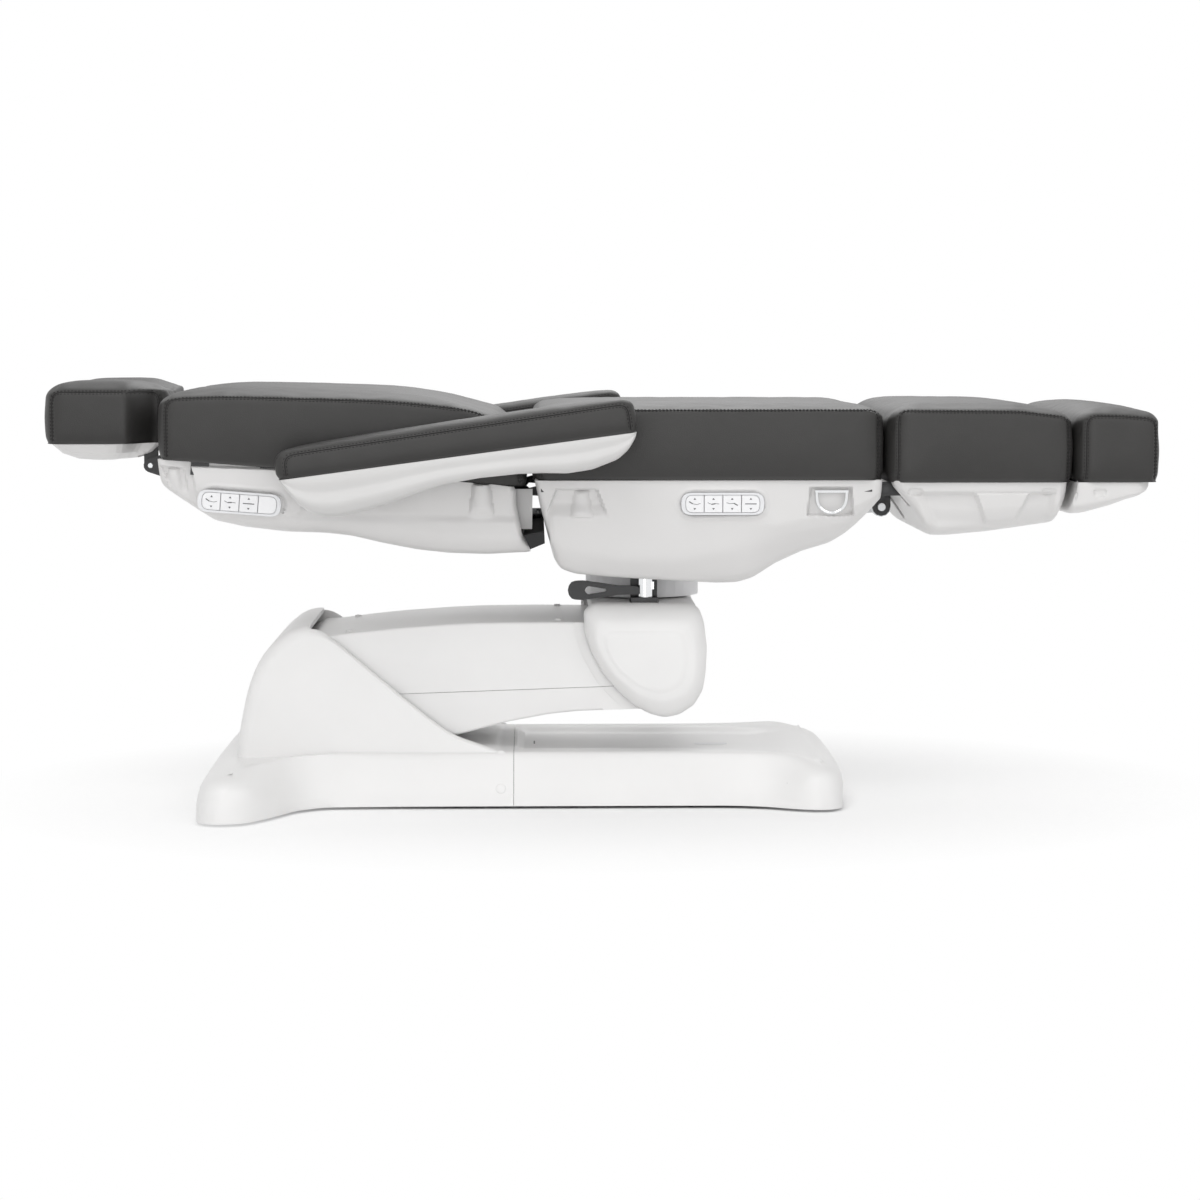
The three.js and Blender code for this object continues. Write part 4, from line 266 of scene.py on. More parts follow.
def depth_inside(x, z, corners):
    """How far each point lies inside a flat outline, negative outside it."""
    corners = np.asarray(corners, float)
    nearest = np.full(x.shape, 1e9)
    inside = np.zeros(x.shape, bool)
    for (ax, az), (bx, bz) in zip(corners, np.roll(corners, -1, axis=0)):
        ex, ez = bx - ax, bz - az
        t = np.clip(((x - ax) * ex + (z - az) * ez) / (ex * ex + ez * ez), 0, 1)
        nearest = np.minimum(nearest, np.hypot(x - ax - t * ex, z - az - t * ez))
        if ez:
            inside ^= ((az > z) != (bz > z)) & (x < ax + (z - az) * ex / ez)
    return np.where(inside, nearest, -nearest)


def arc(cx, cz, radius, start, end, steps=12):
    turns = np.radians(np.linspace(start, end, steps + 1))
    return np.stack([cx + radius * np.cos(turns), cz + radius * np.sin(turns)], axis=1)


def turned(flat, centre, degrees):
    """A flat outline turned about the origin and set down at a centre."""
    flat, turn = np.asarray(flat, float), math.radians(degrees)
    return np.stack([centre[0] + flat[:, 0] * math.cos(turn) - flat[:, 1] * math.sin(turn),
                     centre[1] + flat[:, 0] * math.sin(turn) + flat[:, 1] * math.cos(turn)], axis=1)


def tilted(points, degrees, x, z):
    """Turns points about a line along Y, head end up."""
    points = np.array(points, float)
    turn = math.radians(degrees)
    dx, dz = points[..., 0] - x, points[..., 2] - z
    points[..., 0] = x + dx * math.cos(turn) + dz * math.sin(turn)
    points[..., 2] = z - dx * math.sin(turn) + dz * math.cos(turn)
    return points


def mesh_object(name, points, faces, scale=MM):
    mesh = bpy.data.meshes.new(name)
    mesh.from_pydata((np.asarray(points, float) * scale).tolist(), [], [list(map(int, f)) for f in faces])
    obj = bpy.data.objects.new(name, mesh)
    scene.collection.objects.link(obj)
    return obj


@contextmanager
def editing(obj):
    """An object's mesh opened for edits, and written back after them."""
    made = bmesh.new()
    made.from_mesh(obj.data)
    yield made
    made.to_mesh(obj.data)
    made.free()


def cleaned(obj):
    """Merges doubled points and turns the faces outwards."""
    with editing(obj) as made:
        bmesh.ops.remove_doubles(made, verts=made.verts, dist=1e-6)
        bmesh.ops.dissolve_degenerate(made, edges=made.edges, dist=1e-6)
        bmesh.ops.recalc_face_normals(made, faces=made.faces)
    return obj


def baked(obj):
    """Takes the object's modifiers into its mesh."""
    graph = bpy.context.evaluated_depsgraph_get()
    mesh = bpy.data.meshes.new_from_object(obj.evaluated_get(graph), depsgraph=graph)
    obj.modifiers.clear()
    obj.data = mesh
    return obj


def shaded(obj, angle=32):
    """Smooth shading with a hard edge where faces meet at more than that angle."""
    with editing(obj) as made:
        for face in made.faces:
            face.smooth = True
        for edge in made.edges:
            edge.smooth = len(edge.link_faces) == 2 and edge.calc_face_angle(0) < math.radians(angle)
    return obj


def dressed(obj, body, look, replaces=(), angle=32):
    """Gives a piece its look and its body, and hides the nodes that it stands for."""
    shaded(obj, angle)
    obj.data.materials.clear()
    obj.data.materials.append(looks[look] if isinstance(look, str) else look)
    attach(obj, body)
    if replaces:
        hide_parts(*replaces)
    return obj


def grid_faces(rows, columns, wrap=False):
    """Four-sided faces between the points of a grid."""
    last = columns if wrap else columns - 1
    a = (np.arange(rows - 1)[:, None] * columns + np.arange(last)).ravel()
    b = (np.arange(rows - 1)[:, None] * columns + (np.arange(last) + 1) % columns).ravel()
    return np.stack([a, b, b + columns, a + columns], axis=1).tolist()


def closed_faces(rows, columns):
    """The faces of a closed skin through rings, with a flat face on each end."""
    ends = [list(range(columns))[::-1], list(range((rows - 1) * columns, rows * columns))]
    return grid_faces(rows, columns, wrap=True) + ends


def loft(name, rings):
    """A closed skin through rings of equal counts."""
    rings = np.asarray(rings, float)
    return cleaned(mesh_object(name, rings.reshape(-1, 3), closed_faces(*rings.shape[:2])))


def circle(centre, radius, first, second, sides):
    """Points round a centre, in the plane of two directions."""
    turns = np.linspace(0, 2 * math.pi, sides, endpoint=False)[:, None]
    return centre + radius * (np.cos(turns) * first + np.sin(turns) * second)


def side_rings(outline, ys):
    outline = np.asarray(outline, float)
    return [np.column_stack([outline[:, 0], np.full(len(outline), y), outline[:, 1]]) for y in ys]


def side_prism(name, outline, y0, y1):
    return loft(name, side_rings(outline, [y0, y1]))


def turn_of(ring):
    """1 for a closed ring that runs anticlockwise, -1 for one that runs clockwise."""
    area = np.sum(ring[:, 0] * np.roll(ring[:, 1], -1) - np.roll(ring[:, 0], -1) * ring[:, 1])
    return 1 if area > 0 else -1


def inward(ring, turn):
    """At each point of a closed ring, the direction into it."""
    along = np.roll(ring, -1, axis=0) - np.roll(ring, 1, axis=0)
    along /= np.maximum(np.linalg.norm(along, axis=1, keepdims=True), 1e-9)
    return np.stack([-along[:, 1], along[:, 0]], axis=1) * turn


def inset(outline, distance, steps=None, weights=1.0):
    """A closed outline moved inwards, in small steps."""
    ring = np.asarray(outline, float)
    turn = turn_of(ring)
    steps = steps or max(int(abs(distance) / 2.0) + 1, 1)
    for _ in range(steps):
        ring = ring + inward(ring, turn) * (distance / steps * np.reshape(weights, (-1, 1)))
    return ring


def soft_prism(name, outline, half, edge, steps=6, weights=1.0):
    """An XZ outline carried across Y, with its two sides rounded over."""
    rings = []
    for i in range(steps + 1):
        turn = math.pi / 2 * i / steps
        away = edge * (1 - math.sin(turn))
        ring = inset(outline, away, weights=weights) if away > 1e-6 else np.asarray(outline, float)
        rings += side_rings(ring, [-(half - edge + edge * math.cos(turn))])
    mirrored = [ring * np.array([1, -1, 1]) for ring in rings][::-1]
    return loft(name, rings + mirrored)


def block(name, x0, x1, y0, y1, z0, z1):
    return side_prism(name, [(x0, z0), (x1, z0), (x1, z1), (x0, z1)], y0, y1)


def round_bar(name, place, axis, radius, length, sides=32):
    """A round bar centred on a place."""
    turns = np.linspace(0, 2 * math.pi, sides, endpoint=False)
    u, v = radius * np.cos(turns), radius * np.sin(turns)
    rings = []
    for along in (-length / 2, length / 2):
        w = np.full(sides, along)
        parts = {"x": (w, u, v), "y": (v, w, u), "z": (u, v, w)}[axis]
        rings.append(np.stack(parts, axis=1) + np.asarray(place, float))
    return loft(name, rings)


def combined(obj, others, how):
    """Cuts or joins closed pieces one after another and removes what was used."""
    for other in others:
        modifier = obj.modifiers.new(how, "BOOLEAN")
        modifier.operation = how
        modifier.solver = "EXACT"
        modifier.object = other
        baked(obj)
        bpy.data.objects.remove(other)
    return obj


def carved(obj, *cutters):
    return combined(obj, cutters, "DIFFERENCE")


def added(obj, *others):
    return combined(obj, others, "UNION")


def joined(name, parts):
    """One mesh out of several."""
    points, faces = [], []
    for part in parts:
        first = len(points)
        points += [tuple(v.co) for v in part.data.vertices]
        faces += [[first + i for i in polygon.vertices] for polygon in part.data.polygons]
        bpy.data.objects.remove(part)
    return mesh_object(name, points, faces, scale=1)


def split_off(obj, name, point, normal):
    """Keeps the half of a closed piece behind a plane and closes the cut."""
    copy = bpy.data.objects.new(name, obj.data.copy())
    scene.collection.objects.link(copy)
    with editing(copy) as made:
        cut = bmesh.ops.bisect_plane(made, geom=made.verts[:] + made.edges[:] + made.faces[:],
                                     plane_co=Vector(point) * MM, plane_no=Vector(normal), clear_outer=True)
        edges = [g for g in cut["geom_cut"] if isinstance(g, bmesh.types.BMEdge)]
        bmesh.ops.holes_fill(made, edges=edges, sides=0)
        bmesh.ops.recalc_face_normals(made, faces=made.faces)
    return copy


def facing_down(obj):
    """Turns an open skin so that its lowest face looks down."""
    if min(obj.data.polygons, key=lambda p: p.center.z).normal.z > 0:
        obj.data.flip_normals()
    return obj


def tub(name, grid):
    """An open skin through a grid of points, facing down, with its thickness inwards."""
    obj = facing_down(cleaned(mesh_object(name, grid.reshape(-1, 3), grid_faces(*grid.shape[:2]))))
    modifier = obj.modifiers.new("wall", "SOLIDIFY")
    modifier.thickness = shell_wall * MM
    modifier.offset = -1
    return baked(obj)


def rounded_width(from_end, half, corner):
    """Half the width at a distance from an end with round corners in plan."""
    short = np.clip(1 - from_end / corner, 0, 1)
    return half - corner * (1 - np.sqrt(1 - short ** 2))


def rising(x):
    """Keeps a row of values from running back."""
    return np.maximum.accumulate(x + np.arange(len(x)) * 1e-4)


# Moulded shells under the cushions
def both_sides(near):
    """Columns from the near rim to the middle, and the same again on the far side."""
    return np.concatenate([near, (near * np.array([1, -1, 1]))[-2::-1]])


def belly(name, under, rim, high, low, half, plan_round=14, rows=(22, 9, 7, 7), step=3.5, soft=5.0,
          shares=(0.972, 0.93, 0.80), relief=None, finish_points=None):
    """A tub through cross sections along X. under is its lowest line, from rim to rim; high and low
    are the two long creases of its side; relief pushes the side inwards."""
    line = smooth_line(under, step, soft)
    x, bottom = rising(line[:, 0]), line[:, 1]
    top = np.interp(x, *np.asarray(rim, float).T)
    bottom = np.minimum(bottom, top)
    deep = top - bottom
    dense = np.arange(x[0], x[-1] + 1, 1.0)
    crease = []
    for points in (high, low):
        values = softened(np.interp(dense, *np.asarray(points, float).T), 8)
        crease.append(np.interp(x, dense, values))
    z_high = np.maximum(crease[0], top - 0.52 * deep)
    z_low = np.minimum(np.maximum(crease[1], bottom + 0.06 * deep), z_high)
    wide = rounded_width(np.minimum(x - x[0], x[-1] - x), half, plan_round)
    keys = [(wide, top), (wide * shares[0], z_high), (wide * shares[1], z_low),
            (wide * shares[2], bottom), (wide * 0, bottom)]
    columns = []
    for (y0, z0), (y1, z1), count in zip(keys, keys[1:], rows):
        for i in range(count):
            share = i / count
            columns.append(np.stack([x, -(y0 + (y1 - y0) * share), z0 + (z1 - z0) * share], axis=1))
    columns.append(np.stack([x, -keys[-1][0], keys[-1][1]], axis=1))
    whole = softened(both_sides(np.stack(columns)), 1.6)
    whole = np.transpose(softened(np.transpose(whole, (1, 0, 2)), 0.8), (1, 0, 2))
    if relief is not None:
        side = np.sign(whole[..., 1])
        standing = ramp(np.abs(whole[..., 1]), 0.55 * half, 0.86 * half)
        whole[..., 1] -= side * relief(whole[..., 0], whole[..., 2], side) * standing
    if finish_points is not None:
        whole = finish_points(whole)
    return tub(name, whole)


def well(x, z, corners, deep, crisp, fade=0.0):
    """A recess with firm edges; a fade lets it run out towards its lower edge."""
    inside = depth_inside(x, z, corners)
    mask = ramp(inside, -crisp / 2, crisp / 2)
    if fade:
        low = min(c[1] for c in corners)
        mask = mask * ramp(z, low, low + fade)
    return deep * mask


def post(x, z, centre, top, low, radius_top, radius_low, rise):
    """A round post that stands in a recess, half sunk in its floor."""
    along = np.clip((top - z) / (top - low), 0, 1)
    radius = radius_top + (radius_low - radius_top) * along
    across = np.clip(1 - ((x - centre) / radius) ** 2, 0, 1)
    return -rise * np.sqrt(across) * ramp(top - z, -1, 3) * ramp(z, low - 12, low + 12)


# Dresses a shell under a cushion in the darker white of painted shade.
def shell_painted_shade(obj, body):
    return dressed(obj, body, painted_shade_shell_look, [body + "_shell"], 38)


seat_under = [(-110, seat_rim), (-104, 540), (-102, 527), (-87, 470), (-77, 430), (-66, 412), (-40, 403),
              (33, 397), (145, 390), (201, 387), (236, 388), (262, 396), (300, 421), (345, 442), (392, 456),
              (417, 472), (438, 490), (460, 513), (474, 531), (474, seat_rim)]
seat_high = [(-110, 500), (-74, 494), (285, 490), (330, 497), (400, 505), (470, 540)]
seat_low = [(-110, 480), (-74, 453), (33, 431), (145, 431), (230, 447), (314, 473), (417, 493), (470, 535)]
seat_post = [(-73, 552), (-6, 552), (15, 500), (-94, 500)]
ring_pocket = [(353, 555), (421, 555), (426, 508), (348, 508)]
seat_keys = (205, 528)


def stadium(centre, half_length, half_height, angle=0.0):
    """The outline of a small panel with round ends."""
    straight = half_length - half_height
    ends = [arc(straight, 0, half_height, -90, 90, 8), arc(-straight, 0, half_height, 90, 270, 8)]
    return turned(np.vstack(ends), centre, angle)


def panel_relief(x, z, centre, angle):
    """The recess that a keypad lies in, with the low ridge round it."""
    away = -depth_inside(x, z, stadium(centre, 69.5, 18.5, angle))
    seat_in = 5.0 * ramp(-away, -1.5, 1.5)
    ridge = -1.6 * np.exp(-((away - 5.5) / 2.6) ** 2)
    return seat_in + ridge


def seat_relief(x, z, side):
    push = well(x, z, seat_post, 13, 3.5, fade=34)
    push = push + post(x, z, -31, 549, 505, 11, 19, 9) * (push > 0.5)
    ring = well(x, z, ring_pocket, 13, 3.5)
    fold = 2.2 * ramp(z, 512, 536) * np.clip(1 - np.abs(x - 387) / 34, 0, 1)
    push = push + ring - fold * (ring > 3)
    return push + np.where(side < 0, panel_relief(x, z, seat_keys, 0), 0)


def swing_dish(points):
    """Keeps the seat's underside clear of the brake and its lever when the seat turns or tilts."""
    x, y, z = points[..., 0], points[..., 1], points[..., 2]
    clear = 393 + 0.18 * np.maximum(swivel_x - x, 0)
    inside = 1 - ramp(np.hypot(x - swivel_x, y), 198, 214)
    points[..., 2] = z + np.maximum(clear - z, 0) * inside
    return points


seat_shell = belly("seat_shell_form", seat_under, [(-110, seat_rim), (470, seat_rim)], seat_high, seat_low,
                   shell_half, relief=seat_relief, step=3.2, rows=(30, 9, 7, 16), finish_points=swing_dish)
ways = [block("way", swivel_x - 126, swivel_x + 69, -112, 112, 360, 420)]
ways += [block("way", -140, -78, y - 7, y + 7, 526, 590) for y in (-204, 204)]
ways += [block("way", 440, 500, y - 16, y + 16, 530, 590) for y in (-250, 250)]
ways += [block("way", -140, -40, 94, 126, 446, 538), block("way", 396, 500, -26, 26, 470, 548)]
shell_painted_shade(carved(seat_shell, *ways), "seat")

back_line = [(-738, 603.2), (-120, 556)]
back_under = [(-738, 602), (-737, 572), (-733, 556), (-695, 528), (-650, 496), (-600, 484), (-532, 475),
              (-468, 473), (-422, 468), (-367, 455), (-310, 444), (-254, 438), (-190, 436), (-121, 440)]
back_high = [(-738, 575), (-690, 535), (-648, 522), (-505, 520), (-433, 512), (-340, 500), (-265, 486),
             (-121, 484)]
back_low = [(-738, 545), (-690, 525), (-648, 506), (-600, 503), (-509, 503), (-433, 500), (-340, 485),
            (-265, 466), (-121, 463)]
back_keys = (-594.5, 532)
back_slab = [(-682, 592), (-669, 513), (-600, 511), (-508, 508), (-498, 516), (-494, 585)]
back_post = [(-732, 592), (-694, 589), (-686, 537), (-712, 545)]
back_end = [(440, -117), (454, -119), (476, -131), (529, -141), (549, -141), (556, -144), (563, -149),
            (569, -164)]


def back_relief(x, z, side):
    slab = well(x, z, back_slab, 1, 5)
    push = 7.0 * (1 - slab) * ramp(z, 492, 510)
    push = push * ramp(x, -700, -684) + 2.0 * (1 - ramp(x, -700, -684))
    push = push + well(x, z, back_post, 7, 3.5, fade=26) + post(x, z, -711, 588, 548, 9, 13, 8) * (x < -690)
    push = push + 6.0 * ramp(x, -470, -380) * ramp(z, 470, 500)
    push = push + post(x, z, -198, 562, 512, 14, 22, 15) * (x > -240)
    return push + np.where(side < 0, panel_relief(x, z, back_keys, tilt_of_back), 0)


def back_end_points(points):
    """Bends the foot end of the back shell to its own outline."""
    end = np.interp(points[..., 2], *np.asarray(back_end, float).T)
    points[..., 0] += ramp(points[..., 0], -190, -121) * (end + 121)
    return points


back_shell = belly("back_shell_form", back_under, back_line, back_high, back_low, shell_half,
                   relief=back_relief, step=3.4, rows=(30, 6, 6, 8), plan_round=12,
                   finish_points=back_end_points)
shell_painted_shade(back_shell, "back")

leg_under = [(491, 563), (493, 556), (500, 548), (527, 517), (556, 474), (564, 468), (589, 468), (657, 474),
             (741, 486), (768, 490), (773, 496), (775, 510), (781, 522), (785, 534), (785, 563)]
leg_high = [(491, 540), (540, 500), (562, 494), (620, 496), (700, 502), (772, 508), (785, 530)]
leg_low = [(491, 530), (540, 492), (562, 487), (620, 491), (700, 498), (772, 505), (785, 528)]
leg_slab = [(630, 545), (722, 545), (698, 494), (650, 494)]


def leg_relief(x, z, side):
    panel = well(x, z, leg_slab, 1, 6)
    band = ramp(z, 540, 549)
    left = ramp(x, 522 + (545 - z) * 0.5, 546 + (545 - z) * 0.5)
    right = 1 - ramp(x, 752, 768)
    push = 11.0 * (1 - band) * (1 - panel) * left * right * ramp(z, 478, 500)
    for centre in (529, 754):
        push = push + well(x, z, stadium((centre, 547), 12, 6), 3.5, 2.5)
    return push


leg_shell = belly("leg_shell_form", leg_under, [(491, 563), (785, 563)], leg_high, leg_low, shell_half,
                  relief=leg_relief, step=2.6, rows=(30, 5, 6, 8), soft=3.0, plan_round=16)
ways = [block("way", 470, 525, y - 16, y + 16, 500, 590) for y in (-250, 250)]
ways += [block("way", 470, 551, -26, 26, 470, 590)]
shell_painted_shade(carved(leg_shell, *ways), "leg")

foot_under = [(800, 563), (799, 553), (795, 528), (790, 512), (796, 505), (812, 506), (825, 509), (859, 519),
              (886, 530), (906, 536), (918, 543), (924, 554), (925, 563)]


def foot_points():
    """Sections fanned along the foot shell, each drawn to its own depth."""
    line = smooth_line(foot_under, 2.4, 2.5)
    rim, end_round = 563, 26
    outs = np.concatenate([np.full(14, 1.0), np.linspace(1.0, 0.9, 6)[1:], np.linspace(0.9, 0, 10)[1:]])
    downs = np.concatenate([np.linspace(0, 0.72, 14), np.linspace(0.72, 0.96, 6)[1:],
                            np.linspace(0.96, 1, 10)[1:]])
    rows = []
    for x, z in line:
        wide = rounded_width(max(line[-1, 0] - x, 0), shell_half, end_round)
        z_row = rim - downs * (rim - z)
        x_row = np.where(x < 815, x + (800 - x) * ramp(z_row, z, rim), x)
        rows.append(np.stack([x_row, -wide * outs, z_row], axis=1))
    return both_sides(np.transpose(np.array(rows), (1, 0, 2)))


foot_grid = softened(foot_points(), 1.2)
pushed = well(foot_grid[..., 0], foot_grid[..., 2], stadium((839, 546), 11, 5.5), 3.5, 2.5)
foot_grid[..., 1] -= np.sign(foot_grid[..., 1]) * pushed * ramp(np.abs(foot_grid[..., 1]), 240, 280)
shell_painted_shade(tub("foot_shell_form", foot_grid), "foot")


# Base covers and housing
rear_x, front_x, split_x = -679.9, 421.1, -146.9
base_shares = [(0, 0), (0.001, 200), (0.0025, 328), (0.008, 382), (0.034, 400), (0.08, 390), (0.115, 336),
               (0.15, 262), (0.19, 230), (0.3, 225), (0.5, 225), (0.7, 225), (0.82, 226), (0.875, 238),
               (0.925, 268), (0.965, 278), (0.993, 260), (0.998, 200), (1, 0)]
lobe_profile = [(0, 5), (0, 30), (1, 42), (4, 55), (9, 64), (17, 71), (28, 76), (40, 79.5), (52, 82)]
strip_profile = [(0, 5), (1, 11), (10, 28), (20, 46), (30, 64), (38, 79), (43.5, 87), (47, 90.5), (52, 92)]


def closed_plan(half):
    """Half a plan and its mirror image, as one loop."""
    return np.vstack([half, (half * np.array([1, -1]))[-2:0:-1]])


half_plan = np.array([(rear_x + share * (front_x - rear_x), y) for share, y in base_shares])
plan = smooth_line(closed_plan(half_plan), 7.0, 13, closed=True)
first = np.argmin(np.hypot(plan[:, 0] - half_plan[0][0], plan[:, 1]))
plan = np.roll(plan, -first, axis=0)
half_line = resampled(plan[:len(plan) // 2 + 1], count=150)
half_line[0, 1] = half_line[-1, 1] = 0
plan = closed_plan(half_line)


def in_order(ring):
    """Keeps each half of a ring running from the head end to the foot end, and both halves alike."""
    half = ring[:len(ring) // 2 + 1].copy()
    half[:, 0] = np.maximum.accumulate(half[:, 0]) + np.arange(len(half)) * 0.01
    half[[0, -1], 1] = 0
    return closed_plan(half)


def base_form(name, shrink):
    """The spreading base as one closed form: rings up its side, then a ladder across its deck."""
    lobe = np.maximum(1 - ramp(plan[:, 0], -590, -500), ramp(plan[:, 0], 290, 365))
    rings, ring, before, turn = [], plan, np.zeros(2), turn_of(plan)
    for (away_lobe, z_lobe), (away_strip, z_strip) in zip(lobe_profile, strip_profile):
        away = np.array([away_lobe, away_strip], float)
        steps, before = away - before, away
        distance = (steps[0] * lobe + steps[1] * (1 - lobe))[:, None]
        for _ in range(3):
            ring = ring + inward(ring, turn) * distance / 3
            if distance.max() > 0:
                ring = softened(ring, 0.8, closed=True)
        ring = in_order(ring)
        rings.append(np.column_stack([ring, z_lobe * lobe + z_strip * (1 - lobe)]))
    rings = np.array(rings)
    if shrink:
        rings[:, :, 2] -= shrink
        for ring in rings:
            ring[:, :2] = in_order(inset(ring[:, :2], shrink, steps=2))
        rings[0][:, 2] = -20
    rows, columns = rings.shape[:2]
    faces = grid_faces(rows, columns, wrap=True)
    points = list(rings.reshape(-1, 3))
    half, across = columns // 2, 40
    shares = np.linspace(0, 1, across + 1)[None, :, None]
    near = rings[-1][:half + 1, None]
    far = rings[-1][(columns - np.arange(half + 1)) % columns][:, None]
    ladder = near + (far - near) * shares
    x, y, z = np.moveaxis(ladder, 2, 0)
    ladder[..., 2] = deck_height(x, y, z + shrink, rings[-1][:, :2]) - shrink
    start = len(points)
    points += list(ladder.reshape(-1, 3))
    faces += [[start + i for i in face] for face in grid_faces(half + 1, across + 1)]
    faces.append(list(range(columns)))
    return cleaned(mesh_object(name, points, faces))


def deck_height(x, y, edge_z, edge):
    """The deck: level with its rim, then up to its own height, with a shallow tray in front."""
    blend = ramp(depth_inside(x, y, edge), 0, 34)
    deck = np.interp(x, [-640, -600, -450, -256, split_x, 240, 330, 420], [81, 83, 87, 91, 94, 92.5, 86, 82])
    tray = (1 - ramp(np.abs(y), 108, 146)) * ramp(x, split_x + 4, split_x + 16) * (1 - ramp(x, 270, 350))
    return edge_z * (1 - blend) + (deck - 11 * tray) * blend


housing_points = [(-627, 52), (-627, 79), (-622, 119), (-611, 177), (-603, 208), (-590, 241), (-575, 265),
                  (-558, 284), (-532, 305), (-505, 313), (-478, 307.5), (-452, 286), (-396, 238),
                  (-340, 190.6), (-300, 158), (-266, 132), (-245, 120), (-202, 105), (-165, 92), (-152, 88),
                  (-152, 52)]
housing_line = smooth_line(housing_points, 4, 9, closed=True)
hollow_base = carved(base_form("base_outer", 0), base_form("base_inner", shell_wall))
round_over = (1 - 0.72 * ramp(housing_line[:, 0], -500, -440)) * ramp(housing_line[:, 1], 58, 88)
housing = soft_prism("housing", housing_line, 176, 22, steps=8, weights=round_over)
inner_line = inset(housing_line, 8)
roof = inner_line[inner_line[:, 1] > 104]
room = np.vstack([[(roof[0, 0], -20)], roof, [(roof[-1, 0], 96), (-385, 96), (-385, -20)]])
housing = carved(housing, side_prism("cut", room, -168, 168),
                 block("cut", -497, -163, -167.6, 167.6, 97, 562),
                 block("cut", -390, -120, -167.2, 167.2, -20, 89))
rear_half = split_off(hollow_base, "rear_half", (split_x, 0, 0), (1, 0, 0))
rear_half = added(carved(rear_half, block("cut", -612, -384, -171, 171, -25, 99)), housing)
rear_cover = split_off(rear_half, "base_rear_form", (split_x, 0, 0), (1, 0, 0))
front_cover = split_off(hollow_base, "base_front_form", (split_x + panel_gap, 0, 0), (-1, 0, 0))
for spent in (rear_half, hollow_base):
    bpy.data.objects.remove(spent)
dressed(rear_cover, "base", "white_shell", ["base_rear_cover"], angle=34)
dressed(front_cover, "base", "white_shell", ["base_front_cover"], angle=34)

# Lift arm covers
lift_x, lift_z, reach = -480.9, 244.0, 553.0
arm_low = [(0.13, -92), (0.27, -130), (0.43, -125), (0.58, -103), (0.715, -89), (0.8, -84), (0.905, -82)]
arm_top = [(20, 315), (-105, 316), (-203, 315), (-260, 312.5), (-352, 306), (-400, 301), (-441, 296),
           (-467, 292.5)]
arm_points = arm_top + [tuple(p) for p in arc(lift_x, lift_z, 49, 96, 214, 10)]
arm_points += [(lift_x + share * reach, lift_z + up) for share, up in arm_low]
arm_line = smooth_line(arm_points, 5, 5, closed=True)
arm_skin = soft_prism("arm_skin", arm_line, 159, 5, steps=4)
arm_end = lift_x + 0.905 * reach
arm_skin = carved(arm_skin, side_prism("cut", inset(arm_line, shell_wall), -155, 155),
                  block("cut", arm_end - 10, arm_end + 40, -155, 155, 0, 562),
                  block("cut", lift_x - 114, lift_x + 57, -155, 155, 0, lift_z - 19),
                  round_bar("cut", (lift_x, 0, lift_z), "y", 16.2, 330))
cheek = [(8, 315), (40, 316), (76, 300), (92, 262), (92, 210), (80, 164), (60, 163.5), (8, 162)]
cheeks = [side_prism("cheek", cheek, side * 157 - 2, side * 157 + 2) for side in (-1, 1)]
step_points = [(-26, 337), (-12, 349), (16, 349), (160, 349), (188, 272), (181, 197), (140, 154),
               (114, 149), (88, 156), (62, 170), (36, 194), (10, 223), (-12, 263), (-24, 297)]
round_knuckle = inset(smooth_line(step_points, 6, 5, closed=True), -17)
steps = [side_prism("step", round_knuckle, *sorted((side * 157.4, side * 162))) for side in (-1, 1)]
arm_shell = carved(added(arm_skin, *cheeks), *steps)
seam_a = (lift_x - 171, 0, lift_z - 64)
seam_b = (112, 0, lift_z + 9 - 47)
seam_normal = Vector((-(seam_b[2] - seam_a[2]), 0, seam_b[0] - seam_a[0])).normalized()
upper = split_off(arm_shell, "arm_upper_form", Vector(seam_a) + seam_normal * panel_gap, -seam_normal)
lower = split_off(arm_shell, "arm_lower_form", seam_a, seam_normal)
bpy.data.objects.remove(arm_shell)
dressed(upper, "lift", "white_shell", ["arm_upper_cover"], angle=34)
dressed(lower, "lift", "white_shell", ["arm_lower_cover"], angle=34)

# Knuckle covers
knuckle_points = [(-26, 337), (-12, 349), (16, 349), (160, 349), (174, 341), (183, 315), (188, 272),
                  (186, 228), (181, 197), (166, 171), (140, 154), (114, 149), (88, 156), (62, 170), (36, 194),
                  (10, 223), (-12, 263), (-24, 297)]
knuckle_line = smooth_line(knuckle_points, 4, 5, closed=True)


def scaled_in(outline, aside, above):
    """An outline drawn in towards its middle by so much on each side."""
    low, high = outline.min(axis=0), outline.max(axis=0)
    middle = (low + high) / 2
    return middle + (outline - middle) * (1 - 2 * np.array([aside, above]) / (high - low))


def knuckle_loft(name, side, steps):
    """The knuckle's outline at several depths from its face, drawn in by so much aside and above."""
    return loft(name, [side_rings(scaled_in(knuckle_line, aside, above), [-side * (200 - depth)])[0]
                       for aside, above, depth in steps])


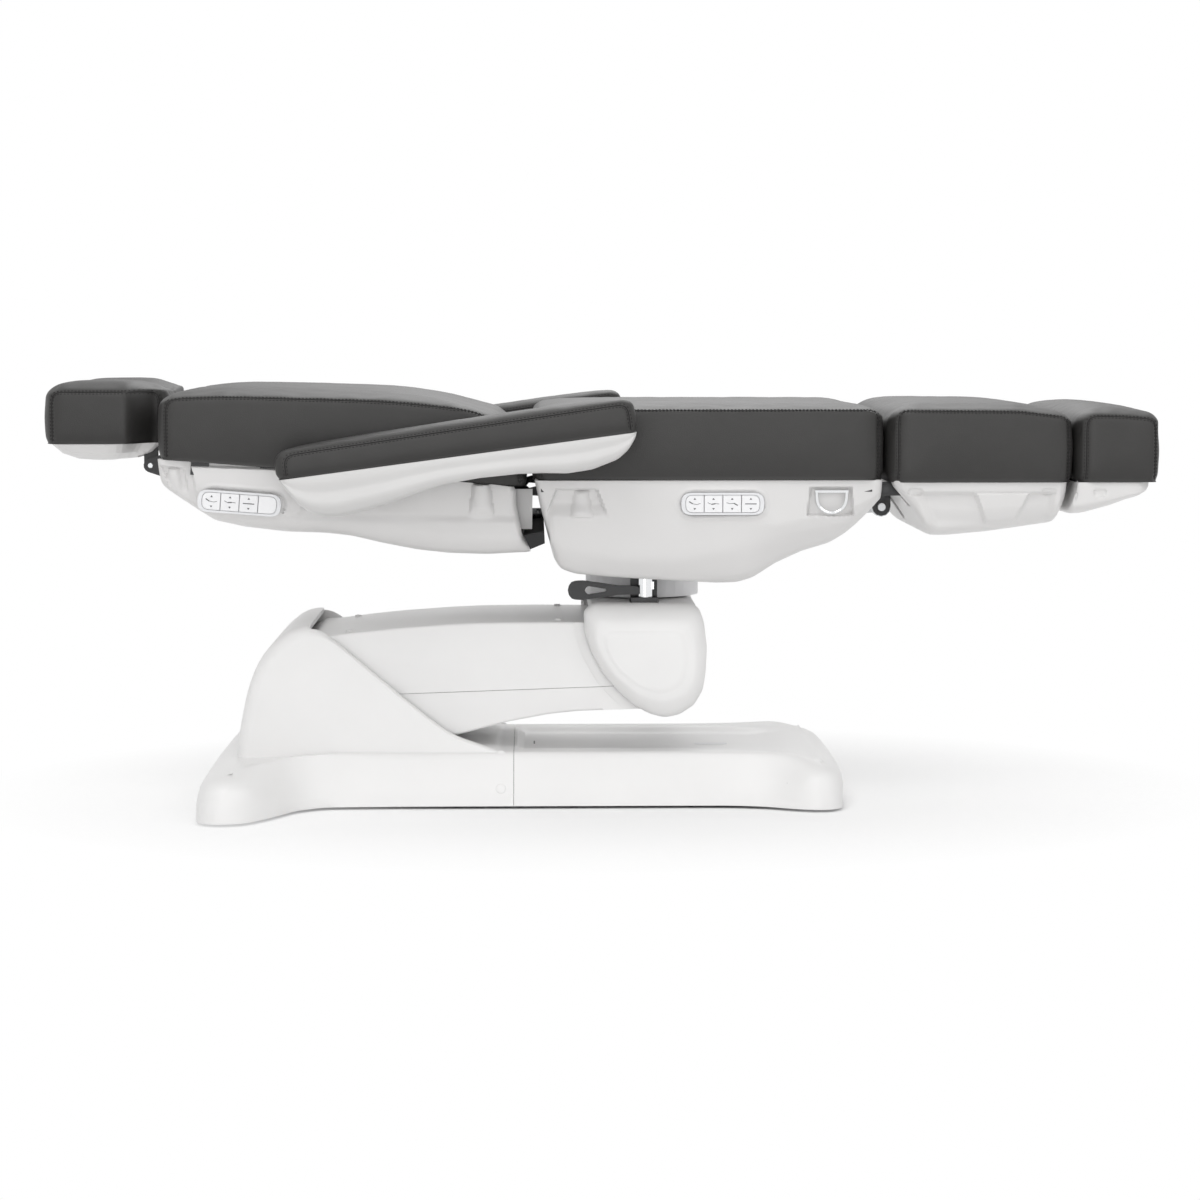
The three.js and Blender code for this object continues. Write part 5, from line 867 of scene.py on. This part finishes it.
def knuckle_cover(side, name, node):
    """One half of the knuckle's housing, hollow and open below, with its ways cut."""
    skin = knuckle_loft(name, side, [
        (46, 58, 0), (42, 53, 0.1), (38, 49, 0.9), (35.5, 46.5, 2.0), (33, 44, 2.5), (24, 36, 3.4),
        (20, 31, 4.8), (16, 26, 7.8), (11, 18, 13), (6.5, 11, 18.5), (3.2, 5.6, 23.5), (1.1, 2, 29),
        (0.2, 0.4, 36), (0, 0, 46), (0, 0, 60), (0, 0, 199.7)])
    cutters = [knuckle_loft("cut", side, [(30, 42, 8), (23, 34, 10), (13, 20, 20), (8, 11, 28), (5.5, 6, 38),
                                          (5, 5, 60), (5, 5, 200)]),
               block("cut", -70, 230, *sorted([side, -side * 165]), 0, 344),
               round_bar("cut", (swivel_x, 0, 340), "z", 50, 60, sides=48)]
    if side > 0:
        cutters.append(block("cut", 54.6, 105.4, -158.4, -93.6, 272, 562))
    return dressed(carved(skin, *cutters), "knuckle", "white_shell", [node], angle=34)


knuckle_cover(1, "knuckle_near_form", "knuckle_cover_near")
knuckle_cover(-1, "knuckle_far_form", "knuckle_cover_far")

# Armrest shells
pivot = (-440.0, 548.0)
rest_x0, rest_length, rest_tilt = pivot[0] - 85, 593, -7.6
rest_rim = pivot[1] + 36.6
rest_y, rest_half, rest_corner = 367, 43, 16
rest_shares = [(0.004, 0), (0.009, 3), (0.042, 41), (0.071, 60), (0.111, 71), (0.161, 74), (0.23, 69),
               (0.302, 62), (0.375, 52), (0.447, 44), (0.551, 41), (0.658, 43), (0.727, 47), (0.793, 53),
               (0.864, 52), (0.937, 41), (0.968, 28), (0.994, 8), (0.998, 0)]
rest_wall = [(0.0, 0.0), (0.10, 0.0), (0.22, 0.6), (0.34, 3.2), (0.42, 4.6), (0.5, 3.4), (0.58, 1.8),
             (0.68, 1.6), (0.78, 4.0), (0.88, 10.0), (0.96, 20.0), (1.0, 34.0)]


def armrest_shell(side, name, node, body):
    """A narrow tub under one armrest, bored for its pivot."""
    under = smooth_line([(rest_x0 + s * rest_length, -d) for s, d in rest_shares], 3.4, 4)
    x, low = rising(under[:, 0]), under[:, 1]
    wide = rounded_width(np.minimum(x - x[0], x[-1] - x), rest_half, rest_corner)
    shares = np.concatenate([np.linspace(0, 0.9, 26), np.linspace(0.9, 1, 8)[1:]])
    inward = softened(np.interp(shares, *np.array(rest_wall).T), 1.1)
    flow = np.clip(-low / 60, 0.25, 1.2)
    near = np.stack([np.stack([x, -np.maximum(wide - in_by * flow, 2), low * share], axis=1)
                     for share, in_by in zip(shares, inward)])
    bottom = np.stack([x, np.zeros(len(x)), low - 0.4], axis=1)[None]
    whole = softened(np.concatenate([near, bottom, (near * np.array([1, -1, 1]))[::-1]]), 1.0)
    whole += np.array([0, side * rest_y, rest_rim])
    whole = tilted(whole, rest_tilt, *pivot)
    bore = round_bar("cut", (pivot[0], side * (rest_y - 45), pivot[1]), "y", 12.4, 40)
    obj = carved(tub(name, whole), bore)
    # The armrest shell's darker white is painted shade.
    return dressed(obj, body, armrest_painted_shade_look, [node], 38)


armrest_shell(-1, "armrest_near_form", "armrest_shell_near", "armrest_near")
armrest_shell(1, "armrest_far_form", "armrest_shell_far", "armrest_far")

# Screw caps, the bare oval plate, the back shell's end pieces and the marks on the keys
cap_profile = [(1, -2.0), (1, 0.45), (0.94, 0.72), (0.8, 0.9), (0.5, 0.98), (0.15, 1.0)]


def cap(place, out, radius, rise):
    """A screw's round cap standing on a surface."""
    out = Vector(out).normalized()
    across = out.orthogonal().normalized()
    other = out.cross(across)
    return loft("part", [circle(np.asarray(place) + np.array(out) * (rise * up), radius * share,
                                np.array(across), np.array(other), 24) for share, up in cap_profile])


arm_caps = joined("arm_caps", [cap((x, y, z), (0, 0, 1), 6.2, 3.5) for x, z in ((-432, 297), (-69, 316))
                               for y in (-130, 130)])
dressed(arm_caps, "lift", "white_shell")
base_caps = joined("base_caps", [cap((-168.8, side * y, z), (0, side * 0.874, 0.486), 9, 2.5)
                                 for side in (-1, 1) for y, z in ((211.5, 33), (178, 86))])
dressed(base_caps, "base", "white_shell")
oval = stadium((204, -15), 29, 11)
oval_plate = loft("oval_plate", [np.column_stack([oval, np.full(len(oval), z)]) for z in (79.0, 82.4)])
dressed(oval_plate, "base", "white_steel")
end_strip = side_prism("back_end_strip", [(-128, 474), (-93.5, 481), (-92.5, 461), (-117, 451)], -284, 284)
dressed(end_strip, "back", rubber_look)
# The end wall takes the darker white too: painted shade on a white wall seen in shadow through the gap.
end_wall = side_prism("back_end_wall", [(-150, 482), (-114, 482), (-113, 550), (-150, 550)], -240, -236)
dressed(end_wall, "back", painted_shade_shell_look)


def key_marks(name, body, centre, degrees, face_y, strokes, arrows=True):
    """Two small arrows and a line mark, raised a little from a key's face."""
    outlines = []
    if arrows:
        outlines += [[(-2.2, 7.0), (2.2, 7.0), (0, 10.2)], [(-2.2, -7.0), (0, -10.2), (2.2, -7.0)]]
    for (x0, z0), (x1, z1), wide in strokes:
        run = np.array([x1 - x0, z1 - z0], float)
        off = np.array([-run[1], run[0]]) / np.linalg.norm(run) * wide / 2
        a, b = np.array([x0, z0]), np.array([x1, z1])
        outlines.append([a - off, b - off, b + off, a + off])
    parts = [side_prism("part", turned(outline, centre, degrees), face_y - 0.25, face_y + 0.6)
             for outline in outlines]
    return dressed(joined(name, parts), body, mark_look)


raised_left = [((-9.5, 4.0), (-3.5, 0.2), 1.7), ((-3.5, 0.2), (4.0, -0.8), 0.8),
               ((4.0, -0.8), (9.5, 0.8), 0.8)]
level_middle = [((-9.5, 2.2), (-3.5, -0.6), 0.8), ((-3.5, -0.6), (3.5, 0.4), 1.7),
                ((3.5, 0.4), (9.5, 0), 0.8)]
low_right = [((-9.5, 2.0), (-3.5, 0.4), 0.8), ((-3.5, 0.4), (3.0, 1.0), 0.8), ((3.0, 1.0), (9.5, -2.6), 1.7)]
level_bar = [((-9.5, 0), (9.5, 0), 1.5)]
seat_marks = {"seat_back_key": (158.1, raised_left), "seat_tilt_key": (189.4, level_middle),
              "seat_leg_key": (220.6, low_right), "seat_lift_key": (251.9, level_bar)}
for key, (x, strokes) in seat_marks.items():
    key_marks(key + "_marks", key, (x, 528), 0, -303.0, strokes)
back_marks = {"back_back_key": (-647.6, 533.5, raised_left), "back_lift_key": (-616.9, 531.6, level_middle),
              "back_leg_key": (-585.8, 529.3, level_bar)}
for key, (x, z, strokes) in back_marks.items():
    key_marks(key + "_marks", key, (x, z), tilt_of_back, -303.5, strokes)


# Cushions
seam_in_low, seam_in_high, seam_corner = 16, 10, 10.08
sewn_reach, groove_reach, groove_depth = 6.0, 3.2, 1.4
fold_reach, fold_depth = 16.0, 0.7
stitch_profile = [(-0.5, 0.25), (-0.3, 1.0), (0.3, 1.0), (0.5, 0.25)]
thread_radius, stitch_length, stitch_radius, stitch_aside, stitch_above = 0.9, 3.6, 0.6, 3.2, 0.25


def spaced(low, high, band_low, band_high, step, band_steps=7):
    """Grid lines from low to high, closer together in the two end bands."""
    turns = np.linspace(0, math.pi / 2, band_steps + 1)
    first = low + band_low * (1 - np.cos(turns))
    last = (high - band_high * (1 - np.cos(turns)))[::-1]
    count = max(int(round((last[0] - first[-1]) / step)), 2)
    return np.concatenate([first, np.linspace(first[-1], last[0], count + 1)[1:-1], last])


@dataclass
class Pad:
    """A boxed cushion: a top rounded at its edges, walls down all round and a flat underside."""

    name: str
    x0: float
    x1: float
    half: float
    bottom: object
    seam: object
    crown: float
    ends: tuple = (34, 34)
    side: float = 26
    end_drop: tuple = (30, 30)
    side_drop: float = 10
    pull: float = 3.0
    step: float = 11.0
    levels: int = 9
    width: object = None
    cap: float = 5.0
    held: object = None
    offset: float = 0.0

    def plan(self, gx, gy):
        """Where the square grid lands in the rounded plan, how far out each point is and how it falls."""
        mid_low, mid_high = self.x0 + self.ends[0], self.x1 - self.ends[1]
        qx = np.where(gx < mid_low, (mid_low - gx) / self.ends[0], (gx - mid_high) / self.ends[1])
        qx = np.clip(qx, 0, 1)
        inner = self.half - self.side
        qy = np.clip((np.abs(gy) - inner) / self.side, 0, 1)
        keep = np.maximum(qx, qy) / np.maximum(np.hypot(qx, qy), 1e-9)
        mx, my = qx * keep, qy * keep
        out_x = np.where(gx > mid_high, mid_high + mx * self.ends[1], gx)
        out_x = np.where(gx < mid_low, mid_low - mx * self.ends[0], out_x)
        out_y = np.where(np.abs(gy) > inner, np.sign(gy) * (inner + my * self.side), gy)
        u = np.clip(np.hypot(mx, my), 0, 1)
        weight = mx ** 2 / np.maximum(mx ** 2 + my ** 2, 1e-9)
        end = np.where(gx < (self.x0 + self.x1) / 2, self.end_drop[0], self.end_drop[1])
        drop = weight * end + (1 - weight) * self.side_drop
        if self.width is not None:
            out_y = out_y * self.width(out_x)
        share = np.clip((out_x - self.x0) / (self.x1 - self.x0), 0, 1)
        pulled = self.pull * np.sin(math.pi * share) ** 0.8 * ramp(np.abs(gy), 0.5 * self.half, self.half)
        return out_x, out_y - np.sign(gy) * pulled, u, drop, weight

    def height(self, x, y, u):
        """The crowned top, above the seam's own line."""
        middle_x = (self.x0 + self.x1) / 2
        across = np.clip(1 - (np.abs(y) / self.half) ** 2.4, 0, 1)
        along = np.clip(1 - (np.abs(x - middle_x) / ((self.x1 - self.x0) / 2)) ** 3.0, 0, 1)
        return self.seam(x) + self.side_drop + self.crown * across ** 0.75 * along ** 0.6

    def build(self):
        """The cushion's points and faces: the top, the walls ring by ring and the underside."""
        xs = spaced(self.x0, self.x1, *self.ends, self.step)
        ys = spaced(-self.half, self.half, self.side, self.side, self.step)
        x, y, u, drop, weight = self.plan(*np.meshgrid(xs, ys, indexing="ij"))
        fall = weight * (1 - np.sqrt(np.clip(1 - u ** 2, 0, 1))) + (1 - weight) * u ** 2.2
        top = np.stack([x, y, self.height(x, y, u) - drop * fall], axis=-1)
        nx, ny = top.shape[:2]
        border = [(i, 0) for i in range(nx)] + [(nx - 1, j) for j in range(1, ny)]
        border += [(i, ny - 1) for i in range(nx - 2, -1, -1)] + [(0, j) for j in range(ny - 2, 0, -1)]
        at_i, at_j = np.array(border).T
        loop = top[at_i, at_j]
        outward = loop[:, :2] - np.array([(self.x0 + self.x1) / 2, 0])
        outward = outward / np.maximum(np.abs(outward).max(axis=0), 1)
        outward /= np.maximum(np.linalg.norm(outward, axis=1, keepdims=True), 1e-9)
        floor_z = self.bottom(loop[:, 0])
        rings, made, count = [at_i * ny + at_j], [top.reshape(-1, 3)], nx * ny
        for level in range(1, self.levels + 1):
            share = level / self.levels
            swell = 2.2 * math.sin(math.pi * min(share * 1.05, 1)) - 5.0 * max(0, share - 0.9) / 0.1
            made.append(np.column_stack([loop[:, :2] + outward * swell,
                                         loop[:, 2] + (floor_z - loop[:, 2]) * share]))
            rings.append(count + np.arange(len(loop)))
            count += len(loop)
        inner = top[1:-1, 1:-1, :2].reshape(-1, 2)
        made.append(np.column_stack([inner, self.bottom(inner[:, 0])]))
        under = np.zeros((nx, ny), int)
        under[at_i, at_j] = rings[-1]
        under[1:-1, 1:-1] = count + np.arange(len(inner)).reshape(nx - 2, ny - 2)
        faces = grid_faces(nx, ny)
        for upper, lower in zip(rings, rings[1:]):
            faces += np.stack([upper, np.roll(upper, -1), np.roll(lower, -1), lower], axis=1).tolist()
        corners = [under[:-1, :-1], under[:-1, 1:], under[1:, 1:], under[1:, :-1]]
        faces += np.stack(corners, axis=-1).reshape(-1, 4).tolist()
        return np.concatenate(made), faces

    def seam_path(self):
        """The cheek's seam in side view: up one end, along the top and down the other."""
        a, b = self.x0 + seam_in_low, self.x1 - seam_in_high
        xs = np.concatenate([[a], np.linspace(a, b, 30), [b]])
        zs = self.seam(xs)
        zs[[0, -1]] = self.bottom(xs[[0, -1]]) + 5
        return smooth_line(np.column_stack([xs, zs]), 3.0, seam_corner)

    def placed(self, points):
        """Points of the pad where they stand in the frame."""
        return points

    def unplaced(self, points):
        """The way back from placed."""
        return points


def flat_line(value):
    return lambda x: np.full(np.shape(x), float(value))


def sloped(points):
    table = np.asarray(points, float)
    return lambda x: np.interp(x, table[:, 0], table[:, 1])


def inflated(obj, pinned, cap, pressure=4.0):
    """Swells the cover with cloth under pressure, then keeps how far each point moved in bounds."""
    group = obj.vertex_groups.new(name="sewn")
    for index, weight in enumerate(pinned):
        if weight > 0.02:
            group.add([index], float(weight), "REPLACE")
    rest = np.array([v.co for v in obj.data.vertices])
    modifier = obj.modifiers.new("cloth", "CLOTH")
    cloth = modifier.settings
    cloth.quality = 4
    cloth.mass = 0.4
    cloth.tension_stiffness = 18
    cloth.compression_stiffness = 18
    cloth.shear_stiffness = 8
    cloth.bending_stiffness = 1.2
    cloth.use_pressure = True
    cloth.uniform_pressure_force = pressure
    cloth.effector_weights.gravity = 0
    cloth.vertex_group_mass = "sewn"
    modifier.collision_settings.use_collision = False
    for step in range(1, 21):
        scene.frame_set(step)
    graph = bpy.context.evaluated_depsgraph_get()
    moved = np.array([v.co for v in obj.evaluated_get(graph).data.vertices]) - rest
    far = np.linalg.norm(moved, axis=1, keepdims=True)
    limit = cap * MM
    moved *= limit * np.tanh(far / limit) / np.maximum(far, 1e-9)
    obj.modifiers.remove(modifier)
    scene.frame_set(1)
    obj.data.vertices.foreach_set("co", (rest + moved).ravel())
    obj.data.update()
    obj.vertex_groups.clear()
    return obj


def distance_to_path(points_xz, path):
    """How far each point is from a line of points, in side view."""
    best = np.full(len(points_xz), 1e9)
    for chunk in range(0, len(path), 40):
        part = path[chunk:chunk + 40]
        gap = np.linalg.norm(points_xz[:, None, :] - part[None], axis=2).min(axis=1)
        best = np.minimum(best, gap)
    return best


def capsules(name, spots, directions, normals, length, radius):
    """Many small rounded stitches in one mesh."""
    rings, sides = [], 6
    for spot, along, up in zip(spots, directions, normals):
        along = along / max(np.linalg.norm(along), 1e-9)
        up = up - along * np.dot(up, along)
        up /= max(np.linalg.norm(up), 1e-9)
        aside = np.cross(along, up)
        rings += [circle(spot + along * (offset * length), radius * share, up, aside, sides)
                  for offset, share in stitch_profile]
    one = len(stitch_profile) * sides
    faces = [[first + i for i in face] for first in range(0, one * len(spots), one)
             for face in closed_faces(len(stitch_profile), sides)]
    return cleaned(mesh_object(name, np.concatenate(rings), faces))


def tube(name, line, radius):
    """A thread along a line."""
    rings = []
    for i, point in enumerate(line):
        along = line[min(i + 1, len(line) - 1)] - line[max(i - 1, 0)]
        along /= max(np.linalg.norm(along), 1e-9)
        side = np.cross(along, np.array([0.0, 1.0, 0.0]))
        side /= max(np.linalg.norm(side), 1e-9)
        rings.append(circle(point, radius, side, np.cross(side, along), 6))
    return loft(name, rings)


def finished_pad(pad, body, node):
    """Builds, swells, sews and dresses one cushion."""
    points, faces = pad.build()
    path = pad.seam_path()
    aside = np.abs(points[:, 1])
    if pad.width is None:
        near_wall = ramp(aside, pad.half - pad.side - 8, pad.half - pad.side * 0.5)
    else:
        near_wall = aside > 0.8 * aside.max() - 60
    weights = np.exp(-(distance_to_path(points[:, [0, 2]], path) / sewn_reach) ** 2) * near_wall
    weights = np.maximum(weights, 1 - ramp(points[:, 2] - pad.bottom(points[:, 0]), 1, 14))
    if pad.held is not None:
        weights = np.maximum(weights, pad.held(points[:, 0]))
    obj = mesh_object(pad.name, pad.placed(points), faces)
    with editing(obj) as made:
        bmesh.ops.recalc_face_normals(made, faces=made.faces)
    inflated(obj, np.clip(weights, 0, 1), pad.cap)
    modifier = obj.modifiers.new("smooth", "SUBSURF")
    modifier.levels = modifier.render_levels = 1
    baked(obj)
    co = np.array([v.co for v in obj.data.vertices]) / MM
    normals = np.array([v.normal for v in obj.data.vertices])
    rest_co = pad.unplaced(co)
    aside = np.abs(rest_co[:, 1])
    gap = distance_to_path(rest_co[:, [0, 2]], path)
    near_wall = ramp(aside, pad.half * (0.88 if pad.width is None else 0.6), pad.half * 0.93)
    groove = np.exp(-(gap / groove_reach) ** 2) * near_wall
    close = np.exp(-(gap / fold_reach) ** 2) * (aside > 0)
    wrinkle = np.array([noise.noise(Vector(p.tolist()) * 0.035) for p in co])
    co = co - normals * (groove_depth * groove - fold_depth * wrinkle * (0.35 + close))[:, None]
    obj.data.vertices.foreach_set("co", (co * MM).ravel())
    obj.data.update()
    tree = BVHTree.FromPolygons([tuple(p) for p in co], [tuple(p.vertices) for p in obj.data.polygons])
    spots, directions, ups, threads = [], [], [], []
    for side in (-1, 1):
        lifted = np.column_stack([path[:, 0], np.full(len(path), side * (pad.half + 40)), path[:, 1]])
        if pad.width is not None:
            lifted[:, 1] *= np.minimum(pad.width(path[:, 0]) + 0.05, 1)
        hits = []
        for p in pad.placed(lifted):
            hit = tree.ray_cast(Vector(p), Vector((0, -side, 0)), 200)
            hits.append(hit if hit[0] is not None else tree.find_nearest(Vector(p)))
        laid = softened(np.array([hit[0] for hit in hits]), 1.2)
        threads.append(laid)
        along = np.gradient(laid, axis=0)
        for row in (-1, 1):
            for i in range(1, len(laid) - 1, 2):
                across = np.cross(along[i] / max(np.linalg.norm(along[i]), 1e-9), np.array(hits[i][1]))
                hit = tree.find_nearest(Vector(laid[i] + across * row * stitch_aside))
                spots.append(np.array(hit[0]) + np.array(hit[1]) * stitch_above)
                directions.append(along[i])
                ups.append(np.array(hit[1]))
    dressed(obj, body, "grey_upholstery", [node], angle=60)
    dressed(joined(pad.name + "_seam", [tube("part", line, thread_radius) for line in threads]),
            body, stitch_look)
    stitches = capsules(pad.name + "_stitches", spots, directions, ups, stitch_length, stitch_radius)
    dressed(stitches, body, stitch_look)
    return obj


seat_pad = Pad("seat_pad", -114.5, 475.5, cushion_half, flat_line(seat_rim + 0.6), flat_line(684), 2,
               ends=(30, 32), end_drop=(22, 20), side=42, side_drop=5, held=lambda x: 1 - ramp(x, -112, -85))
finished_pad(seat_pad, "seat", "seat_cushion")
leg_pad = Pad("leg_pad", 483, 794.5, cushion_half, flat_line(563.5),
              sloped([(483, 683), (700, 681), (794, 670)]), 3,
              ends=(44, 28), end_drop=(27, 19), side=40, side_drop=8)
finished_pad(leg_pad, "leg", "leg_cushion")
foot_pad = Pad("foot_pad", 798.5, 940, cushion_half, flat_line(563.5),
               sloped([(798, 673), (860, 674), (940, 668)]), 5,
               ends=(34, 20), end_drop=(24, 18), side=40, side_drop=10)
finished_pad(foot_pad, "foot", "foot_cushion")

back_bottom = sloped([(-738, 603.8), (-120, 556.8)])
back_seam = sloped([(-738, 700), (-691, 704), (-622, 706), (-537, 704), (-399, 700), (-353, 698),
                    (-296, 693), (-260, 689), (-240, 687), (-213, 682), (-180, 671), (-150, 646),
                    (-128, 611), (-120, 600)])


class BackPad(Pad):
    """The back's cushion, rounded off towards the seat so that it clears it when the back rises."""

    def height(self, x, y, u):
        beyond = x + 206
        level = 600 + 85.9 - 0.268 * beyond
        round_end = 600 + np.sqrt(np.clip(83.0 ** 2 - np.clip(beyond, 0, 83.0) ** 2, 0, None))
        return np.minimum(super().height(x, y, u), np.where(beyond > 21.5, round_end, level))


back_pad = BackPad("back_pad", -737, -124, cushion_half, back_bottom, back_seam, 8, ends=(26, 40),
                   end_drop=(20, 4), side=40, side_drop=8, held=lambda x: ramp(x, -255, -215))
finished_pad(back_pad, "back", "back_cushion")


class HeadPad(Pad):
    """The head's cushion, hollowed along its middle."""

    def height(self, x, y, u):
        hollow = 10 * np.exp(-(y / 90) ** 2) + 6 * ramp(x, -800, -745)
        return super().height(x, y, u) - hollow * ramp(1 - u, 0, 0.5)


head_pad = HeadPad("head_pad", -940, -742, 225, flat_line(625.6), flat_line(713), 6, ends=(34, 22),
                   end_drop=(24, 14), side=44, side_drop=12, width=lambda x: 1 - 0.33 * ramp(x, -798, -762))
finished_pad(head_pad, "head", "head_cushion")


class RestPad(Pad):
    """An armrest's cushion, built level and in the middle, then set aside and leaned like its shell."""

    def placed(self, points):
        return tilted(points + np.array([0, self.offset, 0]), rest_tilt, *pivot)

    def unplaced(self, points):
        back = tilted(points, -rest_tilt, *pivot)
        back[:, 1] -= self.offset
        return back


for side, name in ((-1, "near"), (1, "far")):
    rest = RestPad("armrest_pad_" + name, rest_x0 + 0.5, rest_x0 + rest_length - 0.5, rest_half + 1.5,
                   flat_line(rest_rim + 0.6),
                   sloped([(rest_x0, rest_rim + 38), (rest_x0 + rest_length, rest_rim + 48)]), 6,
                   ends=(20, 20), end_drop=(14, 14), side=18, side_drop=7, pull=1.0, step=9, levels=5, cap=3,
                   offset=side * rest_y)
    finished_pad(rest, "armrest_" + name, "armrest_cushion_" + name)

# Finishes of the frame's own pieces
slot_of = {
    "white_steel": ["lift_arm", "knuckle_frame", "swivel_carriage"],
    "black_steel": ["base_frame", "parallel_link", "swivel_clamp", "seat_frame", "back_frame", "head_slide",
                    "head_frame", "leg_frame"],
    "black_plastic": ["lock_lever"],
    "bright_steel": ["lift_pivot_shaft", "knee_pivot_shaft", "tilt_pivot_shaft", "armrest_pivot_near",
                     "armrest_pivot_far", "head_hinge_pin", "leg_clevis_pin", "foot_frame", "lift_jack_rod",
                     "back_jack_rod", "leg_jack_rod", "tilt_jack_rod"],
    "chrome": ["lock_cam", "tie_ring"],
    "silver_plastic": ["seat_keypad", "back_keypad"],
    "white_keys": ["seat_back_key", "seat_tilt_key", "seat_leg_key", "seat_lift_key", "back_back_key",
                   "back_lift_key", "back_leg_key", "back_reset_key"],
    "motor_grey": ["lift_jack_tube", "back_jack_tube", "leg_jack_tube", "tilt_jack_tube"],
}
finish_of = {name: looks[look] for look, names in slot_of.items() for name in names}
# The head's shell takes the darker white of painted shade as well.
finish_of["head_shell"] = painted_shade_shell_look
for name, look in finish_of.items():
    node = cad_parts[name]
    shaded(node, 30)
    node.data.materials.clear()
    node.data.materials.append(look)
